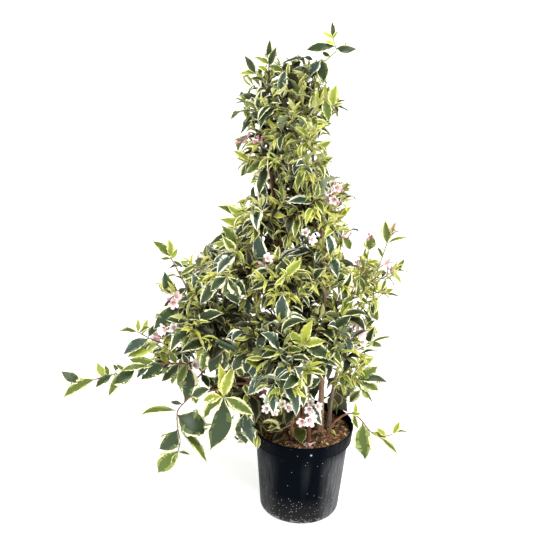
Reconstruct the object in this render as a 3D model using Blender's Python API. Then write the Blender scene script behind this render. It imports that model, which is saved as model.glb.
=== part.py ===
"""A variegated weigela in its nursery pot, in metres, +Z up.

The origin is the middle of the pot's flat underside. +X is the right of the plant and +Y its back.
Stems rise from the compost, each one tapering limb. Every stem ends in a mass of foliage, and more
masses grow from the stems' sides in tiers, so that together they fill the crown's outline. A mass is
one shoot with side twigs, and leaves in opposite pairs, all fused into one solid.
"""

import math
import random

import bmesh
import bpy
from mathutils import Vector
from mathutils.bvhtree import BVHTree

# Pot: a round container of about seven litres
POT_RADIUS = 0.118
POT_HEIGHT = 0.216
POT_SIDES = 32
COLLAR_DEPTH = 0.033  # the plain band below the lip
COLLAR_DRAFT = 0.003  # how much narrower the band is at its lower edge
BODY_TOP_RADIUS = 0.1072
BODY_FOOT_RADIUS = 0.0927
FOOT_ROUND = 0.009
WALL = 0.0022
FLOOR = 0.0032
LIP = 0.0042
DRAIN_HOLES = 6
DRAIN_RADIUS = 0.0065
DRAIN_CIRCLE = 0.066

# Compost: a flat middle that the stems stand on, and a lower, uneven edge
SOIL_TOP = 0.2020
SOIL_EDGE_DROP = 0.0050
SOIL_FLAT_RADIUS = 0.078
SOIL_BUMP = 0.0016

GAP = 0.0003  # between solids that touch on the real plant
SPARE = 0.0007  # how much thicker a leaf is taken to be when it is tested against other nodes

# Stems: where each stands on the compost, where it enters its own mass of foliage, the far tip of that
# mass, how steeply the stem climbs at its tip in degrees, its radius above the flare, and how wide that
# mass spreads next to an ordinary one
STEMS = {
    "upright_left": dict(
        foot=(-0.014, 0.002), tip=(-0.098, 0.010, 0.860), end=(-0.102, 0.000, 1.080),
        climb=84, radius=0.0078, spread=0.85,
    ),
    "upright_right": dict(
        foot=(0.040, -0.008), tip=(-0.012, -0.004, 0.880), end=(0.028, 0.000, 1.118),
        climb=78, radius=0.0066, spread=0.62,
    ),
    "upright_back": dict(
        foot=(0.006, 0.036), tip=(-0.050, 0.050, 0.840), end=(-0.054, 0.040, 1.045),
        climb=86, radius=0.0060, spread=0.85,
    ),
    "shoulder_left": dict(
        foot=(-0.056, 0.010), tip=(-0.228, -0.010, 0.490), end=(-0.322, -0.012, 0.650),
        climb=50, radius=0.0055, spread=0.85,
    ),
    "arch_left": dict(
        foot=(-0.050, -0.026), tip=(-0.265, -0.046, 0.380), end=(-0.556, -0.060, 0.316),
        climb=2, radius=0.0050, spread=0.40,
    ),
    "droop_left": dict(
        foot=(-0.022, -0.052), tip=(-0.200, -0.116, 0.352), end=(-0.310, -0.126, 0.152),
        climb=-30, radius=0.0044, spread=0.70,
    ),
    "front": dict(
        foot=(0.014, -0.048), tip=(-0.030, -0.150, 0.420), end=(-0.052, -0.232, 0.470),
        climb=30, radius=0.0046, spread=1.00,
    ),
    "right_high": dict(
        foot=(0.062, 0.014), tip=(0.124, 0.012, 0.510), end=(0.178, 0.000, 0.714),
        climb=70, radius=0.0050, spread=0.70,
    ),
    "right_low": dict(
        foot=(0.058, -0.036), tip=(0.120, -0.024, 0.256), end=(0.206, -0.024, 0.128),
        climb=-26, radius=0.0036, spread=0.55,
    ),
    "back_left": dict(
        foot=(-0.044, 0.044), tip=(-0.170, 0.140, 0.470), end=(-0.235, 0.200, 0.562),
        climb=42, radius=0.0050, spread=1.00,
    ),
    "back_right": dict(
        foot=(0.040, 0.050), tip=(0.078, 0.146, 0.470), end=(0.122, 0.208, 0.570),
        climb=46, radius=0.0050, spread=1.00,
    ),
    "back": dict(
        foot=(-0.010, 0.064), tip=(-0.050, 0.176, 0.372), end=(-0.058, 0.268, 0.356),
        climb=10, radius=0.0044, spread=1.00,
    ),
}
STEM_SIDES = 6
STEM_RINGS = 8
STEM_TIP_SHARE = 0.42  # radius at the tip, as a share of the radius at the foot
FLARE = 1.35  # root flare at the cut, times the radius
FLARE_HEIGHT = 0.018

# Sprays that stand out of the crown: the tip of each, the rise of its shoot, and its spread
SPRAYS = {
    "left": dict(tip=(-0.420, -0.005, 0.434), rise=0.03, spread=0.75),
    "shoulder": dict(tip=(-0.208, -0.010, 0.742), rise=0.10, spread=0.85),
    "right_upper": dict(tip=(0.200, 0.002, 0.596), rise=0.08, spread=0.75),
    "right_middle": dict(tip=(0.190, -0.010, 0.430), rise=0.03, spread=0.85),
    "left_low": dict(tip=(-0.360, -0.070, 0.278), rise=-0.06, spread=0.45),
    "top_middle": dict(tip=(-0.060, 0.000, 1.046), rise=0.12, spread=0.80),
}

# The crown's outline: height of a tier's tips, its radius, masses round it, the rise of each shoot, and
# how far a tip stays from the shoots that are there already
TIERS = [
    dict(height=0.262, radius=0.185, sectors=5, rise=-0.05, turn=0.15, apart=0.075),
    dict(height=0.375, radius=0.250, sectors=7, rise=0.02, turn=0.50, apart=0.072),
    dict(height=0.510, radius=0.240, sectors=7, rise=0.08, turn=0.10, apart=0.060),
    dict(height=0.640, radius=0.170, sectors=6, rise=0.10, turn=0.40, apart=0.050),
    dict(height=0.570, radius=0.100, sectors=4, rise=0.10, turn=0.70, apart=0.050),
    dict(height=0.765, radius=0.098, sectors=5, rise=0.10, turn=0.05, apart=0.045),
    dict(height=0.870, radius=0.090, sectors=4, rise=0.10, turn=0.35, apart=0.035),
    dict(height=0.985, radius=0.090, sectors=4, rise=0.10, turn=0.90, apart=0.035),
]
CROWN_CENTRES = [  # height and x of the crown's middle
    (0.20, -0.075),
    (0.46, -0.085),
    (0.66, -0.060),
    (0.76, -0.040),
    (0.86, -0.070),
    (1.12, -0.048),
]
CROWN_DEPTH_CENTRE = 0.004
ROOT_SPACING = 0.022  # along a stem, between the roots of its side shoots
SEAT_TRIES = 24

# The open place at the front right, where the stems' feet and the compost show: nothing grows right of
# its left side, before its back and under its top
FOOT_OPENING = dict(left=-0.015, back=-0.060, top=0.330)

# Shoots, twigs and leaves
SHOOT_RADIUS = 0.0030
SHOOT_TIP_RADIUS = 0.0016
TWIG_RADIUS = 0.0018
TIP_RADIUS = 0.0012
SHOOT_RINGS = 5
TWIG_SPACING = 0.075
TWIG_LENGTH = 0.085
TWIG_ANGLE = 52  # degrees from the shoot
TWIG_LIFT = 0.15  # how far twigs turn up to the light
LEAF_SPACING = 0.028
LEAF_LENGTHS = (0.104, 0.082)  # at the crown's foot and at its top
LEAF_HEIGHTS = (0.35, 0.85)  # where those two lengths begin
LEAF_WIDTH_SHARE = 0.54
PAIR_STEP = 0.0008  # along the twig, between the roots of a pair
LEAF_THICKNESS = 0.0015
LEAF_ARCH = 0.13  # rise of the blade's middle above its chord, as a share of its length
TIP_LEAF_REACH = 0.42  # how far the last leaves stand past the end of their shoot, in leaf lengths
LEAF_CLEAR = 0.007  # from its root, where a blade may still touch its own twig and its pair
TWIG_CLEAR = 0.006
LEAF_TRIES = 6
SPACE_OVERLAP = 0.034  # how far a leaf may pass the middle between its shoot and the next

# Blossom that shows from a step away: where each small cluster sits
BLOSSOM_PLACES = [
    (-0.300, -0.050, 0.500),
    (-0.300, -0.040, 0.460),
    (0.060, -0.020, 0.760),
    (0.116, -0.080, 0.465),
    (-0.010, -0.140, 0.660),
    (-0.070, -0.190, 0.300),
    (0.020, -0.150, 0.280),
    (-0.160, 0.000, 0.860),
    (0.180, 0.000, 0.690),
    (0.190, 0.010, 0.600),
    (0.120, 0.190, 0.520),
    (-0.120, 0.230, 0.420),
    (-0.240, 0.150, 0.540),
    (-0.040, 0.080, 0.900),
]
BLOSSOM_LENGTH = 0.030
BLOSSOM_RADIUS = 0.014

UP = Vector((0, 0, 1))
SEED = 8


# Colours, as the photograph shows them, in linear light
def finish(name, colour, roughness, metallic=0.0):
    made = bpy.data.materials.new(name)
    made.use_nodes = True
    shader = made.node_tree.nodes["Principled BSDF"]
    shader.inputs["Base Color"].default_value = (*colour, 1.0)
    shader.inputs["Roughness"].default_value = roughness
    shader.inputs["Metallic"].default_value = metallic
    return made


def finishes():
    return {
        "plastic": finish("black_plastic", (0.008, 0.010, 0.014), 0.38),
        "compost": finish("compost", (0.085, 0.045, 0.022), 0.95),
        "bark": finish("bark", (0.190, 0.125, 0.075), 0.85),
        "leaf": finish("variegated_leaf", (0.120, 0.190, 0.060), 0.50),
    }


def clear_scene():
    for old in list(bpy.data.objects):
        bpy.data.objects.remove(old)


def add_object(name, points, faces, material=None, collection=None):
    mesh = bpy.data.meshes.new(name)
    mesh.from_pydata([tuple(p) for p in points], [], faces)
    if material:
        mesh.materials.append(material)
    made = bpy.data.objects.new(name, mesh)
    (collection or bpy.context.scene.collection).objects.link(made)
    return made


def corners_and_faces(mesh):
    return [vert.co.copy() for vert in mesh.vertices], [tuple(face.vertices) for face in mesh.polygons]


def shade_round(made, crease):
    """Smooth shading, with the edges sharper than the crease, in degrees, kept crisp."""
    made.data.shade_smooth()
    made.data.set_sharp_from_angle(angle=math.radians(crease))
    return made


# Turned shapes: the pot and the compost in it
def arc(centre, radius, start, stop, steps):
    """Points on an arc in the (radius, height) plane, from start to stop in degrees."""
    turn = [math.radians(start + (stop - start) * i / steps) for i in range(steps + 1)]
    return [(centre[0] + radius * math.cos(a), centre[1] + radius * math.sin(a)) for a in turn]


def turned(name, profile, sides, material, lift=None):
    """A closed solid of revolution. The profile starts and ends on the axis, and runs anticlockwise."""
    points = [Vector((0, 0, profile[0][1]))]
    rings = []
    for radius, height in profile[1:-1]:
        rings.append(len(points))
        for i in range(sides):
            angle = 2 * math.pi * i / sides
            place = Vector((radius * math.cos(angle), radius * math.sin(angle), height))
            points.append(place + UP * lift(place) if lift else place)
    points.append(Vector((0, 0, profile[-1][1])))
    faces = []
    for i in range(sides):
        j = (i + 1) % sides
        faces.append((0, rings[0] + j, rings[0] + i))
        for low, high in zip(rings, rings[1:]):
            faces.append((low + i, low + j, high + j, high + i))
        faces.append((rings[-1] + i, rings[-1] + j, len(points) - 1))
    return shade_round(add_object(name, points, faces, material), 46)


def pot_outside():
    """The outer profile, from the middle of the underside to the top of the lip."""
    foot = arc((BODY_FOOT_RADIUS - FOOT_ROUND, FOOT_ROUND), FOOT_ROUND, -90, 0, 2)
    collar_foot = POT_HEIGHT - COLLAR_DEPTH
    collar = [
        (BODY_TOP_RADIUS, collar_foot),
        (POT_RADIUS - COLLAR_DRAFT, collar_foot),
        (POT_RADIUS, POT_HEIGHT - LIP / 2),
        (POT_RADIUS - LIP / 4, POT_HEIGHT),
    ]
    return [(0, 0)] + foot + collar


def pot_inside(clearance=0.0):
    """The inner profile, from the middle of the floor up to the lip, moved inwards by the clearance."""
    inset = WALL + clearance
    foot_round = FOOT_ROUND - WALL
    corner = (BODY_FOOT_RADIUS - WALL - foot_round, FLOOR + foot_round)
    foot = arc(corner, foot_round - clearance, -90, 0, 1)
    ledge = POT_HEIGHT - COLLAR_DEPTH + WALL + clearance
    collar = [
        (BODY_TOP_RADIUS - inset, ledge),
        (POT_RADIUS - COLLAR_DRAFT - inset, ledge),
    ]
    return [(0, FLOOR + clearance)] + foot + collar


def make_pot(material):
    inside = [(POT_RADIUS - LIP, POT_HEIGHT)] + pot_inside()[::-1]
    pot = turned("pot", pot_outside() + inside, POT_SIDES, material)
    drains = bmesh.new()
    for i in range(DRAIN_HOLES):
        angle = 2 * math.pi * (i + 0.5) / DRAIN_HOLES
        ring = bmesh.ops.create_cone(
            drains, cap_ends=True, segments=8, radius1=DRAIN_RADIUS, radius2=DRAIN_RADIUS, depth=4 * FLOOR
        )
        place = Vector((DRAIN_CIRCLE * math.cos(angle), DRAIN_CIRCLE * math.sin(angle), 0))
        bmesh.ops.translate(drains, verts=ring["verts"], vec=place)
    cutter_mesh = bpy.data.meshes.new("drain_cutter")
    drains.to_mesh(cutter_mesh)
    drains.free()
    cutter = bpy.data.objects.new("drain_cutter", cutter_mesh)
    bpy.context.scene.collection.objects.link(cutter)
    cutter.hide_render = True
    cutter.display_type = "WIRE"
    cut = pot.modifiers.new("drain holes", "BOOLEAN")
    cut.operation = "DIFFERENCE"
    cut.object = cutter
    return pot


def make_compost(material):
    rng = random.Random(SEED)
    waves = [(rng.uniform(40, 110), rng.uniform(0, 6.28), rng.uniform(0, 6.28)) for _ in range(4)]

    def lift(place):
        """The uneven surface outside the flat middle; the sides and the underside stay true."""
        out = math.hypot(place.x, place.y)
        if place.z < SOIL_TOP - SOIL_EDGE_DROP - 1e-5 or out < SOIL_FLAT_RADIUS + 0.001:
            return 0.0
        swell = sum(math.sin(k * place.x + a) * math.cos(k * place.y + b) for k, a, b in waves)
        return SOIL_BUMP * swell / 2

    edge = SOIL_TOP - SOIL_EDGE_DROP
    sides = pot_inside(GAP)
    edge_radius = sides[-1][0]
    top = [
        (edge_radius, edge),
        ((edge_radius + SOIL_FLAT_RADIUS) / 2, edge + 0.6 * SOIL_EDGE_DROP),
        (SOIL_FLAT_RADIUS, SOIL_TOP),
        (0, SOIL_TOP),
    ]
    return turned("compost", sides + top, POT_SIDES, material, lift)


# Limbs
def bezier(corners, count):
    """Points along a cubic curve through its four control corners."""
    a, b, c, d = corners
    steps = [i / (count - 1) for i in range(count)]
    return [a * (1 - t) ** 3 + b * 3 * t * (1 - t) ** 2 + c * 3 * t * t * (1 - t) + d * t**3 for t in steps]


def level(vector):
    return Vector((vector.x, vector.y, 0))


def stem_path(stem):
    foot = Vector((*stem["foot"], SOIL_TOP + GAP))
    tip = Vector(stem["tip"])
    outward = level(tip - foot).normalized()
    climb = math.radians(stem["climb"])
    heading = outward * math.cos(climb) + UP * math.sin(climb)
    reach = (tip - foot).length
    return bezier([foot, foot + UP * 0.42 * reach, tip - heading * 0.36 * reach, tip], STEM_RINGS)


def stem_radii(radius, path):
    """Root flare at the cut, then an even taper."""
    radii = []
    for i, place in enumerate(path):
        taper = 1 - (1 - STEM_TIP_SHARE) * i / (len(path) - 1)
        above = (place.z - path[0].z) / FLARE_HEIGHT
        radii.append(radius * taper * (1 + (FLARE - 1) * max(0.0, 1 - above)))
    return radii


def tangents(path):
    ends = [path[0]] + path + [path[-1]]
    return [(after - before).normalized() for before, after in zip(ends, ends[2:])]


def tube(path, radii, sides, base_normal=None):
    """A closed limb along a path. base_normal turns its first ring, so that it lies flat on a surface."""
    ways = tangents(path)
    if base_normal:
        ways[0] = base_normal
    across = ways[0].orthogonal().normalized()
    points = []
    for place, way, radius in zip(path, ways, radii):
        across = (across - way * across.dot(way)).normalized()
        over = way.cross(across)
        for i in range(sides):
            angle = 2 * math.pi * i / sides
            points.append(place + (across * math.cos(angle) + over * math.sin(angle)) * radius)
    faces = [tuple(reversed(range(sides)))]
    for low in range(0, len(points) - sides, sides):
        for i in range(sides):
            j = (i + 1) % sides
            faces.append((low + i, low + j, low + sides + j, low + sides + i))
    faces.append(tuple(range(len(points) - sides, len(points))))
    return points, faces


class Neighbours:
    """The solids that are built so far, as search trees, to keep every new one clear of them."""

    def __init__(self):
        self.kept = []

    def add(self, points, faces, name=None):
        low = [min(p[k] for p in points) for k in range(3)]
        high = [max(p[k] for p in points) for k in range(3)]
        self.kept.append((name, low, high, BVHTree.FromPolygons(points, faces)))

    def touch(self, points, faces, besides=None):
        """Whether a new piece meets any solid here, besides the one of that name."""
        low = [min(p[k] for p in points) for k in range(3)]
        high = [max(p[k] for p in points) for k in range(3)]
        tree = None
        for name, other_low, other_high, other in self.kept:
            if besides and name == besides:
                continue
            if any(high[k] < other_low[k] or low[k] > other_high[k] for k in range(3)):
                continue
            tree = tree or BVHTree.FromPolygons(points, faces)
            if tree.overlap(other):
                return True
        return False


# Foliage
def leaf(base, along, normal, length, thickness=LEAF_THICKNESS):
    """One blade: six corners and eight faces, keeled along its midrib and arched over its length."""
    side = along.cross(normal).normalized()
    rise = normal * length * LEAF_ARCH
    middle = base + along * length * 0.44 + rise
    half = side * length * LEAF_WIDTH_SHARE / 2
    keel = normal * length * 0.035
    tip = base + along * length - rise * 0.35
    flesh = normal * thickness / 2
    spine = base.lerp(middle, 0.7)
    points = [base, middle + half + keel, tip, middle - half + keel, spine + flesh, spine - flesh]
    faces = [(4, 0, 1), (4, 1, 2), (4, 2, 3), (4, 3, 0), (5, 1, 0), (5, 2, 1), (5, 3, 2), (5, 0, 3)]
    return points, faces


def blossom(base, along):
    """A funnel with a hollow mouth, as five petals in one."""
    across = along.orthogonal().normalized()
    over = along.cross(across)
    mouth = base + along * BLOSSOM_LENGTH
    points = [base - along * TWIG_RADIUS, mouth - along * BLOSSOM_LENGTH * 0.45]
    for i in range(5):
        angle = 2 * math.pi * i / 5
        points.append(mouth + (across * math.cos(angle) + over * math.sin(angle)) * BLOSSOM_RADIUS)
    faces = []
    for i in range(5):
        here, after = 2 + i, 2 + (i + 1) % 5
        faces.append((0, after, here))
        faces.append((1, here, after))
    return points, faces


def along_path(path, share):
    """The place and heading at a share of a path, counted over its even steps."""
    spot = min(max(share, 0.0), 1.0) * (len(path) - 1)
    i = min(int(spot), len(path) - 2)
    return path[i].lerp(path[i + 1], spot - i), (path[i + 1] - path[i]).normalized()


def path_length(path):
    return sum((after - before).length for before, after in zip(path, path[1:]))


def pair_ways(heading, turn, angle):
    """The two opposite ways that a pair of twigs or leaves leaves its shoot at, in degrees."""
    across = heading.cross(UP)
    across = (across if across.length > 0.2 else heading.cross(Vector((1, 0, 0)))).normalized()
    over = heading.cross(across)
    side = across * math.cos(turn) + over * math.sin(turn)
    lean = math.radians(angle)
    return [(heading * math.cos(lean) + side * sign * math.sin(lean)).normalized() for sign in (1, -1)]


def leaf_length(height):
    low, high = LEAF_HEIGHTS
    share = min(max((height - low) / (high - low), 0.0), 1.0)
    return LEAF_LENGTHS[0] + (LEAF_LENGTHS[1] - LEAF_LENGTHS[0]) * share


def leaf_pairs(path, spacing, spread, rng):
    """Leaves in opposite pairs, each pair a quarter turn from the last: (place, way, normal, size)."""
    count = max(1, round(path_length(path) / spacing))
    turn = rng.uniform(0, math.pi)
    found = []
    for k in range(1, count + 1):
        share = k / count
        last = k == count
        place, heading = along_path(path, share - (0.04 if last else rng.uniform(0.0, 0.1)))
        share_of_full = (0.75 if last else 1.0) + rng.uniform(-0.12, 0.08)
        size = leaf_length(place.z) * (0.6 + 0.4 * spread) * share_of_full
        for way in pair_ways(heading, turn + k * math.pi / 2, 38 if last else 66):
            way = (way - UP * (0.10 if last else 0.38)).normalized()
            face = UP + heading * 0.45 + Vector([rng.uniform(-0.25, 0.25) for _ in range(3)])
            normal = (face - way * face.dot(way)).normalized()
            found.append((place, way, normal, size))
            place = place - heading * PAIR_STEP
    return found


def side_twigs(path, spread, rng):
    """Twigs in opposite pairs along a shoot, shorter towards its tip, bending up to the light."""
    count = max(1, round(path_length(path) / TWIG_SPACING) - 1)
    turn = rng.uniform(0, math.pi)
    found = []
    for k in range(count):
        share = (k + 0.8) / (count + 0.9)
        place, heading = along_path(path, share)
        size = TWIG_LENGTH * spread * (1.05 - 0.5 * share)
        for way in pair_ways(heading, turn + k * math.pi / 2, TWIG_ANGLE):
            way = (way + UP * TWIG_LIFT).normalized()
            found.append(([place, place + way * size * rng.uniform(0.75, 1.1)], share))
    return found


def crown_centre(height):
    """Where the crown's middle lies at a height: it leans a little to the left."""
    for (low, x_low), (high, x_high) in zip(CROWN_CENTRES, CROWN_CENTRES[1:]):
        if height <= high:
            x = x_low + (x_high - x_low) * (height - low) / (high - low)
            return Vector((x, CROWN_DEPTH_CENTRE, height))
    return Vector((CROWN_CENTRES[-1][1], CROWN_DEPTH_CENTRE, height))


def shoot_path(root, normal, tip, droop, sway):
    """A shoot that leaves its stem along the normal and bends over to its tip."""
    reach = (tip - root).length
    heading = ((tip - root).normalized() + UP * droop).normalized()
    first = root + (normal + UP * 0.5) * 0.3 * reach + sway
    return bezier([root, first, tip - heading * 0.35 * reach, tip], SHOOT_RINGS)


def gap_to(path, place):
    return min((point - place).length for point in path)


def seat_on(path, bark, share, target):
    """A shoot's root, just off the side of its stem that looks to the target, and the way out there."""
    place, heading = along_path(path, share)
    outward = target - place
    outward = (outward - heading * outward.dot(heading)).normalized()
    spot, normal, *_ = bark.ray_cast(place + outward * 0.05, -outward)
    return spot + normal * GAP, normal


def stalk_of(shoot, normal, radius):
    radii = [radius + (SHOOT_TIP_RADIUS - radius) * i / (len(shoot) - 1) for i in range(len(shoot))]
    return tube(shoot, radii, 3, normal)


def plan_masses(stems, built):
    """Every mass: its name, its shoot's path and stalk, and its spread. The stalks join the built solids."""
    rng = random.Random(SEED + 1)
    plan = []

    def settle(name, shoot, normal, radius, spread):
        """Take a shoot into the plan, unless its stalk would touch what is there."""
        stalk = stalk_of(shoot, normal, max(radius, SHOOT_RADIUS))
        if built.touch(*stalk):
            return False
        built.add(*stalk, name)
        plan.append((name, shoot, stalk, spread))
        return True

    for name, (path, radii, _, sizes) in stems.items():
        heading = tangents(path)[-1]
        root = path[-1] + heading * GAP
        end = Vector(sizes["end"])
        out = (end - root).normalized()
        end -= out * leaf_length(end.z) * TIP_LEAF_REACH
        reach = (end - root).length
        shoot = bezier([root, root + heading * 0.35 * reach, end - out * 0.3 * reach, end], SHOOT_RINGS + 2)
        settle(f"foliage_{name}", shoot, heading, radii[-1], sizes["spread"])
    taken = {name: [1.0] for name in stems}

    def side_shoot(name, tip, rise, spread):
        """Plan a shoot to this tip, from the best place on a stem that gives it a clear way."""
        sway = Vector([rng.uniform(-0.012, 0.012) for _ in range(3)])
        droop = 0.25 - 1.2 * max(0.0, 0.4 - tip.z)
        for stem_name, share in seats(stems, taken, tip, rise)[:SEAT_TRIES]:
            path, _, bark, _ = stems[stem_name]
            root, normal = seat_on(path, bark, share, tip)
            if settle(f"foliage_{name}", shoot_path(root, normal, tip, droop, sway), normal, 0.0, spread):
                taken[stem_name].append(share)
                return

    for name, spray in SPRAYS.items():
        tip = Vector(spray["tip"])
        tip -= level(tip - crown_centre(tip.z)).normalized() * leaf_length(tip.z) * TIP_LEAF_REACH
        side_shoot(f"spray_{name}", tip, spray["rise"], spray["spread"])
    for number, tier in enumerate(TIERS, 1):
        for sector in range(tier["sectors"]):
            angle = 2 * math.pi * (sector + tier["turn"]) / tier["sectors"] + rng.uniform(-0.12, 0.12)
            out = Vector((math.cos(angle), math.sin(angle), 0))
            tip = crown_centre(tier["height"]) + out * tier["radius"] * rng.uniform(0.92, 1.06)
            tip.z += rng.uniform(-0.02, 0.02)
            tip -= out * leaf_length(tip.z) * TIP_LEAF_REACH
            if all(gap_to(shoot, tip) >= tier["apart"] for _, shoot, *_ in plan):
                side_shoot(f"tier{number}_{sector + 1}", tip, tier["rise"], 1.0)
    return plan


def seats(stems, taken, tip, rise):
    """Places on the stems for a shoot with this tip, as (stem, share), the nearest well below it first."""
    found = []
    for name, (path, *_) in stems.items():
        length = path_length(path)
        for step in range(6, 39):
            share = step / 40
            if all(abs(share - other) * length >= ROOT_SPACING for other in taken[name]):
                place, _ = along_path(path, share)
                found.append(((tip - place).length + 1.5 * abs(tip.z - place.z - rise), name, share))
    return [(name, share) for _, name, share in sorted(found)]


def own_space(shoot, others, place):
    """Whether a place is clear of the foot's opening, and nearer to this shoot than to any other."""
    if place.x > FOOT_OPENING["left"] and place.y < FOOT_OPENING["back"] and place.z < FOOT_OPENING["top"]:
        return False
    mine = gap_to(shoot, place)
    return all(mine < gap_to(other, place) + SPACE_OVERLAP for other in others)


def keep_main_shell(mesh):
    """Drop loose scraps, and fill the hollows that joining has sealed."""
    work = bmesh.new()
    work.from_mesh(mesh)
    left = set(work.verts)
    shells = []
    while left:
        shell = {left.pop()}
        edge = list(shell)
        while edge:
            for link in edge.pop().link_edges:
                for vert in link.verts:
                    if vert in left:
                        left.discard(vert)
                        shell.add(vert)
                        edge.append(vert)
        shells.append(shell)
    shells.sort(key=len)
    spare = [vert for shell in shells[:-1] for vert in shell]
    bmesh.ops.delete(work, geom=spare, context="VERTS")
    work.to_mesh(mesh)
    work.free()


def fuse(name, pieces, material):
    """One Boolean union of closed pieces into one solid; the pieces are then removed."""
    group = bpy.data.collections.new(f"{name}_pieces")
    bpy.context.scene.collection.children.link(group)
    body = add_object(name, *pieces[0], material)
    for number, piece in enumerate(pieces[1:]):
        add_object(f"{name}_piece{number}", *piece, None, group)
    join = body.modifiers.new("join", "BOOLEAN")
    join.operation = "UNION"
    join.operand_type = "COLLECTION"
    join.collection = group
    join.solver = "MANIFOLD"
    graph = bpy.context.evaluated_depsgraph_get()
    joined = bpy.data.meshes.new_from_object(body.evaluated_get(graph))
    body.modifiers.clear()
    keep_main_shell(joined)
    body.data = joined
    for piece in list(group.objects):
        bpy.data.objects.remove(piece)
    bpy.data.collections.remove(group)
    return body


def make_mass(number, entry, plan, built, material):
    """One mass of foliage: its shoot, side twigs, leaves and blossom, each kept clear of other nodes."""
    name, shoot, stalk, spread = entry
    rng = random.Random(SEED * 100 + number)
    others = [path for other, path, *_ in plan if other != name]
    pieces = [stalk]
    own = Neighbours()
    own.add(*stalk)

    def keep(piece, fat, probe):
        """Take a piece in, unless fattened it meets another node, or cut short at its root its own mass."""
        if built.touch(*fat, name) or own.touch(*probe):
            return False
        pieces.append(piece)
        own.add(*piece)
        return True

    bearing = [shoot]
    for path, share in side_twigs(shoot, spread, rng):
        radii = [TWIG_RADIUS - (TWIG_RADIUS - TIP_RADIUS) * share, TIP_RADIUS]
        fat = tube(path, [radius + SPARE for radius in radii], 3)
        probe = tube([path[0].lerp(path[1], TWIG_CLEAR / (path[1] - path[0]).length), path[1]], radii, 3)
        if own_space(shoot, others, path[-1]) and keep(tube(path, radii, 3), fat, probe):
            bearing.append(path)
    leaves = 0
    for path in bearing:
        for place, way, face, size in leaf_pairs(path, LEAF_SPACING, spread, rng):
            if not own_space(shoot, others, place + way * size * 0.8):
                continue
            for _ in range(LEAF_TRIES):
                fat = leaf(place - way * SPARE, way, face, size * 1.02 + SPARE, LEAF_THICKNESS + 2 * SPARE)
                probe = leaf(place + way * LEAF_CLEAR, way, face, size - LEAF_CLEAR)
                if keep(leaf(place, way, face, size), fat, probe):
                    leaves += 1
                    break
                way = (way + Vector([rng.uniform(-0.35, 0.35) for _ in range(3)])).normalized()
                face = (face - way * face.dot(way)).normalized()
    for spot in BLOSSOM_PLACES:
        nearest = min(plan, key=lambda one: gap_to(one[1], Vector(spot)))
        if nearest[0] != name or len(bearing) < 2:
            continue
        path = min(bearing[1:], key=lambda one: (one[-1] - Vector(spot)).length)
        base, heading = along_path(path, 0.86)
        for way in pair_ways(heading, rng.uniform(0, 3), 34):
            way = (way + UP * 0.2).normalized()
            flower = blossom(base, way)
            keep(flower, flower, blossom(base + way * LEAF_CLEAR, way))
    made = fuse(name, pieces, material)
    built.add(*corners_and_faces(made.data), name)
    return leaves


def main():
    clear_scene()
    colours = finishes()
    built = Neighbours()
    for solid in (make_pot(colours["plastic"]), make_compost(colours["compost"])):
        built.add(*corners_and_faces(solid.data))
    stems = {}
    for name, sizes in STEMS.items():
        path = stem_path(sizes)
        radii = stem_radii(sizes["radius"], path)
        points, faces = tube(path, radii, STEM_SIDES, UP)
        stems[name] = (path, radii, BVHTree.FromPolygons(points, faces), sizes)
        if built.touch(points, faces):
            print(name, "stem touches another solid")
        built.add(points, faces)
        shade_round(add_object(f"stem_{name}", points, faces, colours["bark"]), 62)
    plan = plan_masses(stems, built)
    total = 0
    for number, entry in enumerate(plan):
        total += make_mass(number, entry, plan, built, colours["leaf"])
    print(len(plan), "masses,", total, "leaves")


main()
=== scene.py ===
# A variegated weigela in its black nursery pot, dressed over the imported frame.
# Metres, +Z up, the origin under the middle of the pot, the plant's back towards +Y.
import math
import random

import bmesh
import bpy
import numpy as np
from mathutils import Matrix, Vector, noise
from mathutils.bvhtree import BVHTree


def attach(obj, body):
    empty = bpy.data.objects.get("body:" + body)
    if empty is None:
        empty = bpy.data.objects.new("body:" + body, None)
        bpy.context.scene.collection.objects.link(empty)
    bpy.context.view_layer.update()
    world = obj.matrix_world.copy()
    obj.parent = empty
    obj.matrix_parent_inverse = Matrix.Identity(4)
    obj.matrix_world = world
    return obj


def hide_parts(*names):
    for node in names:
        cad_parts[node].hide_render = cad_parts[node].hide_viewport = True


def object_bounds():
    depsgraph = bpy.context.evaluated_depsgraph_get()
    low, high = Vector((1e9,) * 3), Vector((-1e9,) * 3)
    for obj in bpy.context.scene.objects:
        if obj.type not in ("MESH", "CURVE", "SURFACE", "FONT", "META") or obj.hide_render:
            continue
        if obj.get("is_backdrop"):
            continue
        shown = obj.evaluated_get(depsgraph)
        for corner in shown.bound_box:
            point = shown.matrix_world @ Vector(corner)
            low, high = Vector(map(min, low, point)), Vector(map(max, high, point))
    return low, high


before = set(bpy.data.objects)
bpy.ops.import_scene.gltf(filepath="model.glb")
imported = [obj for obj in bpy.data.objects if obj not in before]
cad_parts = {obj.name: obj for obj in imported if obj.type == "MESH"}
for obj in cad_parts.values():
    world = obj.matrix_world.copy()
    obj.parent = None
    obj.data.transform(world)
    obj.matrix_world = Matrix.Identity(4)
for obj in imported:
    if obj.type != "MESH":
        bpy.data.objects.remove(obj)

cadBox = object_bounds()
nodeNames = sorted(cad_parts)
massNames = [name for name in nodeNames if name.startswith("foliage_")]
print("frame loaded,", len(nodeNames), "nodes,", len(massNames), "masses of foliage")


# Small helpers: colour, shader nodes, meshes
def linearColour(hexValue):
    parts = [int(hexValue[i:i + 2], 16) / 255 for i in (1, 3, 5)]
    return tuple(p / 12.92 if p <= 0.04045 else ((p + 0.055) / 1.055) ** 2.4 for p in parts) + (1.0,)


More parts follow.
